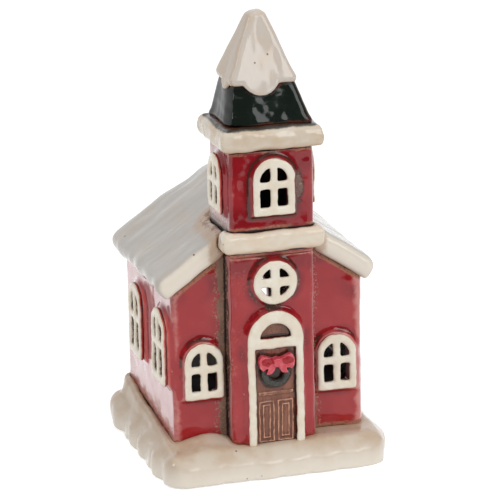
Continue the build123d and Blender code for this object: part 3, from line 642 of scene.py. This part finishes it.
# on the crown, the stain and smear keys give a dark ring round the spire's foot on its upward faces
crownSnow = snowFinish("crownSnow", {
    **rollSettings, "cool": paint(224, 212, 195), "warm": paint(212, 187, 156), "cloudShare": 0.85,
    "stain": paint(52, 46, 40), "smear": paint(60, 42, 32), "stainWidth": 3.6, "stainShare": 0.96,
    "stainSlope": (0.55, 0.8), "stainBreak": (0.7, 4.0, 12.0),
})
capSnow = snowFinish("capSnow", {
    **snowSettings, "cool": paint(213, 203, 192), "warm": paint(214, 190, 165),
    "border": paint(214, 182, 150), "flank": paint(196, 174, 152), "flankShare": 0.55, "stainWidth": 0.1,
    "cloudShare": 0.6, "gloss": 0.05, "wave": (13, 0.15), "stretch": (1.0, 1.0, 0.3),
    "pinholes": [(-4.8, -37.3, 188.3), (1.4, -36.3, 191.4)],
})
baseSnow = snowFinish("baseSnow", {
    **snowSettings, "cool": paint(214, 199, 180), "warm": paint(196, 166, 134),
    "crease": paint(158, 130, 104), "border": paint(194, 162, 130), "flankShare": 0.6, "footShare": 0.8,
    "brimShare": 0.8, "creaseShare": 0.9, "stainWidth": 0.1, "seamWidth": 2.4, "cloudSize": 12,
    "cloudShare": 0.7, "warmUnder": (-0.75, -0.3), "wave": (13, 0.2), "stretch": (0.4, 1.0, 0.4),
    "gloss": 0.13,
})

# near-black green glaze of the spire
greenSettings = {
    "body": paint(18, 27, 21), "light": paint(26, 37, 29), "rust": paint(84, 38, 24),
    "line": paint(28, 16, 12), "ior": 1.4, "jointBreak": (0.9, 2.4, 21.0), "seamWidth": 1.5,
    "thinShare": 0.6, "crustStep": (0.1, 0.5), "clouds": (8, 3.0, 0.6, 22.0), "cloudStep": (0.45, 0.7),
    "gloss": 0.08, "crustRough": 0.3, "wave": (9, 0.8), "skin": (2.4, 0.012), "waveSeed": 23.0,
    "stretch": (0.22, 0.22, 1.0),
}


def greenFinish(name, settings):
    look = SimpleNamespace(**settings)
    material, shader = newMaterial(name, look.ior)
    place = objectPlace()
    edge, seam = attribute("edge"), attribute("seam")
    joint = breakAlong(edge, seam, look.seamWidth, look.jointBreak)
    clouds = patches(place, look.clouds, look.cloudStep)
    colour = layered(look.body, [
        (clouds, look.light),
        (times(joint["Thin"], look.thinShare), look.rust),
        (times(joint["Crust"], ramp(clouds, *look.crustStep)), look.rust),
        (joint["Line"], look.line),
    ])
    roughness = mixValue(joint["Crust"], look.gloss, look.crustRough)
    dress(shader, colour, roughness, waveHeight(settings))
    return material


spireGreen = greenFinish("spireGreen", greenSettings)

# cream window plates with red glaze run down their outer sides, that red made lighter as painted light on the
# sides
creamSettings = {
    "cream": paint(240, 228, 207), "thick": paint(246, 238, 222), "border": paint(214, 190, 156),
    "cut": paint(120, 84, 60), "red": paint(198, 74, 68), "line": paint(70, 34, 28),
    "back": paint(40, 28, 22), "jamb": paint(78, 50, 38), "jointBreak": (0.22, 2.0, 31.0),
    "seamWidth": 0.95, "thinShare": 0.55, "lineShare": 0.2, "clouds": (6, 3.0, 0.5, 32.0),
    "cloudStep": (0.4, 0.65), "sideStep": (0.05, 0.55), "chips": (2.2, 3.0, 0.6, 33.0),
    "chipStep": (0.42, 0.6), "chipShare": 0.8, "outerStep": (0.8, 1.3), "jambStep": (0.8, 2.2),
    "backStep": (-0.6, -0.3), "gloss": 0.14, "glossGain": 1.8, "wave": (4, 0.25), "skin": (1.0, 0.02),
    "waveSeed": 34.0, "stretch": (1.0, 1.0, 1.0),
}


def creamFinish(name, settings):
    look = SimpleNamespace(**settings)
    material, shader = newMaterial(name)
    place = objectPlace()
    edge, seam, corner, front, outline = (
        attribute(part) for part in ("edge", "seam", "corner", "front", "outline")
    )
    joint = breakAlong(edge, seam, look.seamWidth, look.jointBreak)
    clouds = patches(place, look.clouds, look.cloudStep)
    chips = patches(place, look.chips, look.chipStep)
    sideways = fall(front, *look.sideStep)
    colour = layered(look.cream, [
        (clouds, look.thick),
        (times(joint["Thin"], look.thinShare), look.border),
        (times(sideways, chips, look.chipShare), look.cut),
        # red glaze on the outer sides, made lighter as painted light
        (times(fall(outline, *look.outerStep), sideways), look.red),
        (times(joint["Line"], sideways, look.lineShare), look.line),
        # painted shade: the surround's inner sides beside the door made dark brown
        (times(sideways, fall(corner, *look.jambStep)), look.jamb),
        # painted shade: the plates' back faces made dark like the shaded room
        (fall(front, *look.backStep), look.back),
    ])
    roughness = mixValue(clouds, look.gloss, look.gloss * look.glossGain)
    dress(shader, colour, roughness, waveHeight(settings))
    return material


windowCream = creamFinish("windowCream", creamSettings)

# stained door, wreath and bow: darker in the sunk relief and lighter where it stands up, partly glaze and
# wear and partly painted shade and highlight; chosen hollows painted dark as shade
doorSettings = {
    "body": paint(126, 72, 52), "cloud": paint(152, 98, 76), "high": paint(220, 164, 132),
    "deep": paint(58, 26, 18), "jointBreak": (0.4, 1.6, 41.0), "seamWidth": 0.8, "seamShare": 0.85,
    "cloudSize": 3.5, "cloudNoise": (3.0, 0.6, 42.0), "cloudStep": (0.38, 0.66), "highStep": (0.03, 0.12),
    "deepShare": 0.45, "wear": (2.4, 2.0, 0.5, 45.0), "wearStep": (0.36, 0.56), "highLeast": 0.25,
    "highMore": 0.65, "hollows": [], "hollowSize": (1.0, 1.0, 1.0), "hollowRagged": 0.25,
    "hollowSeed": 44.0, "gloss": 0.22, "glossGain": 1.8, "wave": (2.4, 0.12), "skin": (0.7, 0.03),
    "waveSeed": 43.0, "stretch": (1.0, 1.0, 1.0),
}


def reliefFinish(name, settings):
    look = SimpleNamespace(**settings)
    material, shader = newMaterial(name)
    place = objectPlace()
    edge, seam = attribute("edge"), attribute("seam")
    joint = breakAlong(edge, seam, look.seamWidth, look.jointBreak)
    stretched = vecCalc("MULTIPLY", place, look.stretch)
    clouds = patches(stretched, (look.cloudSize, *look.cloudNoise), look.cloudStep)
    wearAndShinePatches = patches(place, look.wear, look.wearStep)
    low, full = look.highStep
    raised, sunk = ramp(edge, low, full), fall(edge, -full, -low)
    wearAndHighlight = plus(look.highLeast, times(wearAndShinePatches, look.highMore))
    # hollows painted dark as shade
    hollows = [
        (blob(place, hollow, look.hollowSize, look.hollowRagged, look.hollowSeed), look.deep)
        for hollow in look.hollows
    ]
    colour = layered(look.body, [
        (clouds, look.cloud),
        # lighter raised relief: partly wear, partly painted highlight
        (times(raised, wearAndHighlight), look.high),
        # darker sunk relief: partly pooled glaze, partly painted shade
        (times(sunk, look.deepShare), look.deep),
        *hollows,
        # dark along seams: dark joints, and on the door leaf painted shade round the wreath and bow
        (times(most(joint["Line"], joint["Crust"]), look.seamShare), look.deep),
    ])
    roughness = mixValue(clouds, look.gloss, look.gloss * look.glossGain)
    dress(shader, colour, roughness, waveHeight(settings))
    return material


def boxOf(name):  # low and high corner of a CAD node, in mm
    return (Vector(nodes[name].bound_box[corner]) / mm for corner in (0, 6))


def middleOf(name):
    low, high = boxOf(name)
    return (low + high) / 2


# a shadow is painted dark along the fanlight's foot
fanShadow = Vector((0, 0, -2.6))  # from the fanlight's middle
# shade is painted dark inside each of the bow's loops
bowLoop = Vector((4.7, -2.0, 1.3))  # from the bow's middle
otherLoop = bowLoop * Vector((-1, 1, 1))
# the wreath's middle painted dark as shade
doorBrown = reliefFinish("doorBrown", {
    **doorSettings, "hollows": [middleOf("wreath")], "hollowSize": (3.4, 5.0, 3.4), "seamWidth": 1.5,
    "stretch": (1.0, 1.0, 0.3),
})
fanBrown = reliefFinish("fanBrown", {
    **doorSettings, "body": paint(112, 66, 48), "cloud": paint(140, 92, 70), "gloss": 0.18, "seamWidth": 1.4,
    "hollows": [middleOf("fanlight") + fanShadow], "hollowSize": (7.0, 5.0, 0.7),
})
wreathGreen = reliefFinish("wreathGreen", {
    **doorSettings, "body": paint(50, 48, 42), "cloud": paint(70, 72, 66), "high": paint(116, 120, 114),
    "deep": paint(20, 14, 11), "deepShare": 0.9, "highStep": (0.1, 0.4), "cloudSize": 1.4,
    "wave": (1.2, 0.25),
})
bowPink = reliefFinish("bowPink", {
    **doorSettings, "body": paint(212, 70, 84), "cloud": paint(224, 100, 110), "high": paint(246, 180, 178),
    "deep": paint(164, 0, 22), "deepShare": 0.9, "highStep": (0.08, 0.35), "cloudSize": 2.0,
    "wave": (1.8, 0.3), "hollows": [middleOf("bow") + loop for loop in (bowLoop, otherLoop)],
    "hollowSize": (3.3, 5.0, 2.1), "hollowRagged": 0.6, "gloss": 0.14,
})
print("ceramic finishes built")

# pieces: CAD solids copied, remeshed and shaped by hand; sizes in mm
weldReach = 0.002


def linked(name, data):
    obj = bpy.data.objects.new(name, data)
    scene.collection.objects.link(obj)
    return obj


def clayCopy(name, nodeNames):  # merged copy of CAD solids as a new object
    shape = bmesh.new()
    for nodeName in nodeNames:
        shape.from_mesh(nodes[nodeName].data)
    bmesh.ops.remove_doubles(shape, verts=shape.verts, dist=weldReach * mm)
    mesh = bpy.data.meshes.new(name)
    shape.to_mesh(mesh)
    shape.free()
    return linked(name, mesh)


def pointGuide(swells):  # a guide with a corner at each swell: place, reach and lift
    places, reaches, lifts = zip(*swells)
    mesh = bpy.data.meshes.new("pointGuide")
    mesh.from_pydata([tuple(Vector(place) * mm) for place in places], [], [tuple(range(len(swells)))])
    for name, values in (("reach", reaches), ("lift", lifts)):
        stored = mesh.attributes.new(name, "FLOAT", "POINT")
        stored.data.foreach_set("value", [value * mm for value in values])
    return linked("pointGuide", mesh)


def bakeDown(obj):  # modifiers become a plain mesh
    graph = bpy.context.evaluated_depsgraph_get()
    mesh = bpy.data.meshes.new_from_object(obj.evaluated_get(graph), depsgraph=graph)
    obj.modifiers.clear()
    obj.data = mesh


def setInputs(modifier, values):  # by socket identifier
    for item in modifier.node_group.interface.items_tree:
        if item.item_type == "SOCKET" and item.in_out == "INPUT" and item.name in values:
            modifier[item.identifier] = values[item.name]


farOff = 9000  # for pieces that need no guide
farAway = [((farOff + step, farOff - step, farOff + step * step), 1.0, 0.0) for step in range(3)]
plainPiece = {
    "out": (0, 0, 1), "stretch": (1, 1, 1), "room": ((900, 900, 900), (901, 901, 901)), "corner": [],
    "rim": [], "swells": farAway, "grow": 0.0, "archMiddle": (0, 0, 0), "archRadius": 0.0,
    "across": (1, 0, 0), "swaySize": 46, "sway": 0.7, "lean": (-1.6, 0, 0), "leanLow": 160, "leanHigh": 186,
}
lengthInputs = {
    "Sway Size": "swaySize", "Sway Depth": "sway", "Lean Low": "leanLow", "Lean High": "leanHigh",
    "Wobble Size": "wobbleSize", "Wobble Depth": "wobble", "Lump Size": "lumpSize", "Lump Depth": "lump",
    "Grow": "grow", "Arch Radius": "archRadius",
}
placeInputs = {"Lean": "lean", "Arch Middle": "archMiddle"}
directionInputs = {"Stretch": "stretch", "Out": "out", "Across": "across"}
plainInputs = {"Soft Passes": "soft", "Edge Passes": "edge", "Seed": "seed"}


def pottery(name, nodeNames, finish, given):
    settings = {**plainPiece, **given}
    obj = clayCopy(name, nodeNames)
    guides = {
        part: clayCopy(name + part, settings[part]) if settings[part] else pointGuide(farAway)
        for part in ("seam", "corner", "rim")
    }
    guides["swell"] = pointGuide(settings["swells"])
    remesh = obj.modifiers.new("clay", "REMESH")
    remesh.mode = "VOXEL"
    remesh.voxel_size = settings["voxel"] * mm
    remesh.use_smooth_shade = True
    shaped = obj.modifiers.new("hand", "NODES")
    shaped.node_group = handShape
    roomLow, roomHigh = settings["room"]
    setInputs(shaped, {
        "Finish": finish,
        "Room Low": list(Vector(roomLow) * mm), "Room High": list(Vector(roomHigh) * mm),
        **{part.capitalize() + " Guide": guide for part, guide in guides.items()},
        **{socket: settings[key] * mm for socket, key in lengthInputs.items()},
        **{socket: list(Vector(settings[key]) * mm) for socket, key in placeInputs.items()},
        **{socket: [float(value) for value in settings[key]] for socket, key in directionInputs.items()},
        **{socket: settings[key] for socket, key in plainInputs.items()},
    })
    bakeDown(obj)
    for guide in guides.values():
        bpy.data.objects.remove(guide)
    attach(obj, "house")
    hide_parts(*nodeNames)
    print("piece:", name, len(obj.data.polygons), "faces")


windowNames = [n for n in nodes if "window" in n]
wallNames = ["nave_walls", "porch_walls", "tower_walls"]
roofNames = ["roof_snow_left", "roof_snow_right"]
rollNames = ["porch_snow_ledge", "tower_snow_crown"]

# walls
wallShape = {
    "voxel": 0.85, "soft": 2, "wobbleSize": 9, "wobble": 0.25, "lumpSize": 15, "lump": 0.6, "edge": 8,
    "rim": windowNames + ["door_surround"],
}
hatchSwells = [((20.5, 43, 71), 13, 2.2), ((20.5, 43, 66), 12, 1.6)]
rightEdgeSwells = [((43, -31, height), 11, 1.3) for height in range(18, 90, 8)]
pottery("shaped_nave_walls", ["nave_walls"], naveRed, {
    **wallShape, "seed": 1.0, "lump": 0.35, "seam": roofNames + rollNames + ["snow_base"],
    "corner": ["porch_walls"], "swells": hatchSwells + rightEdgeSwells,
    "room": ((-39.8, -29.1, 0), (39.8, 41.1, 130)),
})
pottery("shaped_porch_walls", ["porch_walls"], porchRed, {
    **wallShape, "seed": 2.0, "voxel": 0.6, "seam": rollNames + ["snow_base"], "corner": ["nave_walls"],
    "room": ((-15.5, -39.5, 0), (15.5, -22.5, 130)),
})
pottery("shaped_tower_walls", ["tower_walls"], towerRed, {
    **wallShape, "seed": 3.0, "voxel": 0.6, "lump": 0.3, "wobble": 0.12, "seam": roofNames + rollNames,
    "corner": roofNames, "room": ((-15.5, -39.5, 0), (15.5, -15.0, 190)),
})

# snow of the roof, ledge and crown
roofShape = {
    "voxel": 0.8, "soft": 20, "wobbleSize": 18, "wobble": 0.8, "lumpSize": 16, "lump": 0.8, "edge": 10,
    "stretch": (0.3, 1.0, 0.3), "seed": 11.0, "seam": wallNames + ["porch_snow_ledge"],
    "corner": ["tower_walls"],
}
eaveSwells = [
    ((-49.5, -31, 88), 7, 1.4), ((-49.5, -17, 88), 9, 1.0), ((-50, 2, 89), 8, 1.5), ((-49.5, 14, 88), 6, 0.8),
    ((-50, 30, 89), 9, 1.3), ((-49, 43, 88), 7, 0.9), ((49, -41, 88), 10, 1.4),
]
ridgeDips = [((-12, 49, 118), 20, -2.2), ((-2, 49, 122), 20, -2.4), ((-48, 52, 92), 10, -0.8)]
pottery("shaped_roof_snow", roofNames, roofSnow, {
    **roofShape, "grow": 0.5, "out": (0, -1, 0), "swells": eaveSwells + ridgeDips,
    "room": ((-39, -28, 60), (39, 41, 130)),
})
rollShape = {
    **roofShape, "voxel": 0.5, "soft": 6, "lumpSize": 8, "lump": 1.0, "stretch": (0.7, 1.0, 1.0),
    "seam": wallNames + roofNames + ["spire"], "corner": [],
}
pottery("shaped_porch_snow_ledge", ["porch_snow_ledge"], rollSnow, {**rollShape, "seed": 13.0})
pottery("shaped_tower_snow_crown", ["tower_snow_crown"], crownSnow, {
    **rollShape, "seed": 14.0, "corner": ["spire"], "room": ((-15.5, -39.5, 140), (15.5, -15.0, 165)),
})

# spire and its cap; swells climb three edges of the spire
spireLean, spireReach = 0.22, 9  # inward for each mm of rise, and the reach of each swell
spireEdges = (  # foot of the edge, way it leans, lift at the foot, loss of lift for each mm, and rises
    ((-18.5, -43, 162), (1, 1), -2.4, 0.0, (0, 7, 14)),
    ((18, -45, 161), (-1, 1), 2.2, 0.1, (0, 6, 12)),
    ((-18, -10, 161), (1, -1), 1.4, 0.1, (0, 6)),
)
spireSwells = [
    ((x + wayX * spireLean * rise, y + wayY * spireLean * rise, z + rise), spireReach, lift - fade * rise)
    for (x, y, z), (wayX, wayY), lift, fade, rises in spireEdges
    for rise in rises
]
pottery("shaped_spire", ["spire"], spireGreen, {
    **wallShape, "rim": [], "voxel": 0.55, "soft": 22, "grow": 0.6, "swells": spireSwells, "seed": 17.0,
    "seam": ["spire_snow_cap", "tower_snow_crown"],
})
pottery("shaped_spire_cap", ["spire_snow_cap"], capSnow, {
    **roofShape, "voxel": 0.45, "soft": 6, "seed": 19.0, "seam": ["spire"], "corner": [],
    "stretch": (1.0, 1.0, 0.4), "lump": 0.5, "lumpSize": 12,
})

# snow base: rolls and dips along the left flank, a heap at the front left, two corners worn and one filled
flankRolls = [
    ((-54, 40, 8), 13, 1.2), ((-54, 11, 8), 8, 1.2), ((-54, -8, 8), 8, 1.0), ((-54, -27, 7), 8, 0.8),
]
flankDips = [
    ((-54, 23, 7), 8, -3.4), ((-54, 1.5, 7), 7, -3.4), ((-54, -17.5, 7), 7, -3.2), ((-54, -36, 6), 7, -2.6),
]
heapAndCorners = [
    ((-30, -37, 13.5), 19, 3.8), ((-51, 50, 21), 13, -3.0), ((-46, -50, 4), 12, 1.6),
    ((51, -51, 6), 15, -3.0),
]
pottery("shaped_base", ["snow_base"], baseSnow, {
    **roofShape, "voxel": 0.85, "soft": 6, "seed": 23.0, "lump": 1.3, "lumpSize": 15, "grow": 0.9,
    "seam": wallNames, "corner": [], "swells": flankRolls + flankDips + heapAndCorners,
    "stretch": (0.35, 1.0, 0.35), "room": ((-39.4, -28.5, 12.5), (39.4, 40.5, 60.0)),
})

# window plates and the door surround
windowShape = {
    "voxel": 0.4, "soft": 8, "wobbleSize": 4.5, "wobble": 0.5, "lumpSize": 4, "lump": 0.15, "edge": 6,
    "grow": 0.42, "seam": wallNames,
}
surroundShape = {**windowShape, "grow": 0.6, "corner": ["door_leaf", "fanlight"]}
outward = {
    "left": (-1, 0, 0), "right": (1, 0, 0),
    "front": (0, -1, 0), "round": (0, -1, 0), "surround": (0, -1, 0),
}
firstPlateSeed, firstDoorSeed = 31.0, 51.0


def outOf(name):  # a plate's wall is the first word after these
    for lead in ("nave_window_", "tower_window_", "door_"):
        name = name.replace(lead, "")
    return outward[name.split("_")[0]]


def archOf(name):  # where the round head of a plate has its middle
    low, high = boxOf(name)
    across = Vector((0, 0, 1)).cross(Vector(outOf(name)))
    radius = abs((high - low).dot(across)) / 2
    middle = (low + high) / 2
    middle.z = high.z - radius
    return {"out": outOf(name), "across": tuple(across), "archMiddle": tuple(middle), "archRadius": radius}


for index, name in enumerate(windowNames + ["door_surround"]):
    plate = surroundShape if name == "door_surround" else windowShape
    pottery("shaped_" + name, [name], windowCream, {
        **plate, **archOf(name), "seed": firstPlateSeed + index,
    })

# door leaf, fanlight, wreath and bow
reliefShape = {
    **windowShape, "voxel": 0.22, "soft": 1, "wobble": 0.12, "lump": 0.1, "grow": 0.0,
    "seam": ["door_surround"],
}
# the door leaf is darkened round the wreath and bow as painted shade, besides its dark joints
leafShape = {"edge": 16, "soft": 3, "wobble": 0.35, "seam": ["door_surround", "snow_base", "wreath", "bow"]}
wreathShape = {"lumpSize": 1.8, "lump": 0.35, "seam": ["door_leaf", "bow"]}
bowShape = {"soft": 6, "lumpSize": 2.2, "lump": 0.4, "edge": 12, "seam": ["wreath"]}
for index, (name, slotName, finish, extra) in enumerate((
    ("door_leaf", "door_glaze", doorBrown, leafShape),
    ("fanlight", "door_glaze", fanBrown, {"soft": 4}),
    ("wreath", "wreath_glaze", wreathGreen, wreathShape),
    ("bow", "bow_glaze", bowPink, bowShape),
)):
    pottery("shaped_" + name, [name], finish, {
        **reliefShape, "seed": firstDoorSeed + index, **extra,
    })
print("pottery pieces shaped")

# tealight finishes, on the CAD solids themselves
plasticSettings = {
    "ior": 1.46, "clouds": (5, 3.0, 0.5, 61.0), "cloudStep": (0.35, 0.65), "glossGain": 1.4,
    "transmission": 0.0, "wave": (9, 0.02), "skin": (0.5, 0.012), "waveSeed": 62.0,
    "stretch": (1.0, 1.0, 1.0),
}
steelSettings = {
    "body": paint(196, 196, 198), "tint": paint(168, 168, 172), "brush": (0.3, 3.0, 0.6, 63.0),
    "brushStep": (0.3, 0.7), "brushStretch": (0.05, 1.0, 1.0), "gloss": (0.2, 0.42), "depth": 0.01,
}


def plasticFinish(name, **given):
    settings = {**plasticSettings, **given}
    material, shader = newMaterial(name, settings["ior"])
    clouds = patches(objectPlace(), settings["clouds"], settings["cloudStep"])
    colour = mixColour(clouds, settings["body"], settings["tint"])
    roughness = mixValue(clouds, settings["gloss"], settings["gloss"] * settings["glossGain"])
    shader.inputs["Transmission Weight"].default_value = settings["transmission"]
    dress(shader, colour, roughness, waveHeight(settings))
    return material


def steelFinish(name, settings):
    look = SimpleNamespace(**settings)
    material, shader = newMaterial(name)
    drawn = vecCalc("MULTIPLY", objectPlace(), look.brushStretch)
    brushed = grain(drawn, look.brush)
    colour = mixColour(ramp(brushed, *look.brushStep), look.body, look.tint)
    shader.inputs["Metallic"].default_value = 1.0
    roughness = mixValue(brushed, *look.gloss)
    dress(shader, colour, roughness, times(brushed, look.depth * mm))
    return material


ivory = plasticFinish("ivoryPlastic", body=paint(240, 234, 218), tint=paint(234, 226, 206), gloss=0.42)
amber = plasticFinish(
    "amberFlame", body=paint(250, 214, 140), tint=paint(246, 196, 112), gloss=0.25, transmission=0.35,
)
epoxy = plasticFinish(
    "clearEpoxy", body=paint(248, 246, 236), tint=paint(242, 238, 222), gloss=0.08, transmission=0.8,
)
black = plasticFinish("blackPlastic", body=paint(34, 34, 36), tint=paint(46, 46, 48), gloss=0.45)
tealightFinishes = {
    "tealight_cup": ivory, "tealight_base_plate": ivory, "tealight_battery_door": ivory,
    "tealight_flame": amber, "tealight_led": epoxy, "tealight_switch": black,
    "tealight_coin_cell": steelFinish("cellSteel", steelSettings),
}
for name, finish in tealightFinishes.items():
    slots = nodes[name].material_slots
    if not slots:
        nodes[name].data.materials.append(finish)
    for slot in slots:
        slot.link = "OBJECT"
        slot.material = finish
print("tealight finishes set")

# camera at the photo's viewing angle
cameraSettings = {
    "azimuth": -16.85, "elevation": 16.99, "roll": -1.0, "distance": 1.50025,
    "target": (0.0037, 0.00325, 0.09026), "lens": 235.88, "sensor": 36.0,
}


def placeCamera(settings):
    turn, tilt = radians(settings["azimuth"]), radians(settings["elevation"])
    back = Vector((sin(turn) * cos(tilt), -cos(turn) * cos(tilt), sin(tilt)))
    data = bpy.data.cameras.new("viewCamera")
    data.lens = settings["lens"]
    data.sensor_width = settings["sensor"]
    camera = linked("viewCamera", data)
    camera.location = Vector(settings["target"]) + back * settings["distance"]
    level = (-back).to_track_quat("-Z", "Y")
    camera.rotation_euler = (level @ Quaternion((0, 0, 1), radians(settings["roll"]))).to_euler()
    scene.camera = camera


placeCamera(cameraSettings)

# studio: soft boxes, white surround and a white table; in metres
studioSettings = {
    "boxes": {
        "leftBox": {"place": (-1.2, -0.3, 0.85), "size": (0.4, 0.5), "power": 3.4},
        "topBox": {"place": (0.1, -0.5, 1.4), "size": (1.6, 1.6), "power": 5.0},
        "frontBox": {"place": (0.775, -1.275, 0.735), "size": (0.75, 0.75), "power": 6.5},
    },
    "aim": (0.0, 0.0, 0.1), "fill": 0.45, "white": 1.0, "roomFront": 0.15, "roomTurn": (-0.2, 0.2),
    "table": paint(240, 240, 240), "tableRough": 0.9, "tableLift": 0.55,
    "tableFar": 6.0, "tableFront": -0.42, "tableStep": ((0.132, -0.42), (0.158, -0.62)),
}


def softBox(name, settings, aim):
    data = bpy.data.lights.new(name, "AREA")
    data.shape = "RECTANGLE"
    data.size, data.size_y = settings["size"]
    data.energy = settings["power"]
    lamp = linked(name, data)
    lamp.location = settings["place"]
    lamp.rotation_euler = (Vector(aim) - Vector(settings["place"])).to_track_quat("-Z", "Y").to_euler()


def seenStraight():  # 1 for camera and glass rays, then 1 for mirrored rays
    rays = addNode("ShaderNodeLightPath")
    return most(rays["Is Camera Ray"], rays["Is Transmission Ray"]), rays["Is Glossy Ray"]


def whiteSurround(settings):  # mirrored rays find it dim on the viewer's side of the house
    world = bpy.data.worlds.new("studio")
    scene.world = world
    world.use_nodes = True
    bench.tree = world.node_tree
    sky = bench.tree.nodes["Background"]
    sky.inputs["Color"].default_value = (1.0, 1.0, 1.0, 1.0)
    seen, mirrored = seenStraight()
    direction = split(addNode("ShaderNodeTexCoord")["Generated"])
    behind = ramp(direction["Y"], *settings["roomTurn"])
    backWall = mixValue(behind, settings["roomFront"], settings["white"])
    strength = mixValue(seen, settings["fill"], settings["white"])
    feed(sky.inputs["Strength"], mixValue(mirrored, strength, backWall))


def whiteTable(settings):
    mesh = bpy.data.meshes.new("table")
    near, far = settings["tableFront"], settings["tableFar"]
    left, right = settings["tableStep"]
    outline = [(-far, near), left, right, (far, right[1]), (far, far), (-far, far)]
    mesh.from_pydata([(x, y, 0) for x, y in outline], [], [tuple(range(len(outline)))])
    table = linked("table", mesh)
    material, shader = newMaterial("tableWhite")
    shader.inputs["Base Color"].default_value = settings["table"]
    shader.inputs["Roughness"].default_value = settings["tableRough"]
    shader.inputs["Specular IOR Level"].default_value = 0.0
    shown = times(most(*seenStraight()), settings["tableLift"])
    glow = addNode("ShaderNodeEmission", {"Strength": shown})
    both = addNode("ShaderNodeAddShader", {0: shader.outputs[0], 1: glow[0]})
    feed(bench.tree.nodes["Material Output"].inputs["Surface"], both[0])
    mesh.materials.append(material)


for name, box in studioSettings["boxes"].items():
    softBox(name, box, studioSettings["aim"])
whiteSurround(studioSettings)
whiteTable(studioSettings)
scene.view_settings.view_transform = "Standard"
print("studio set")
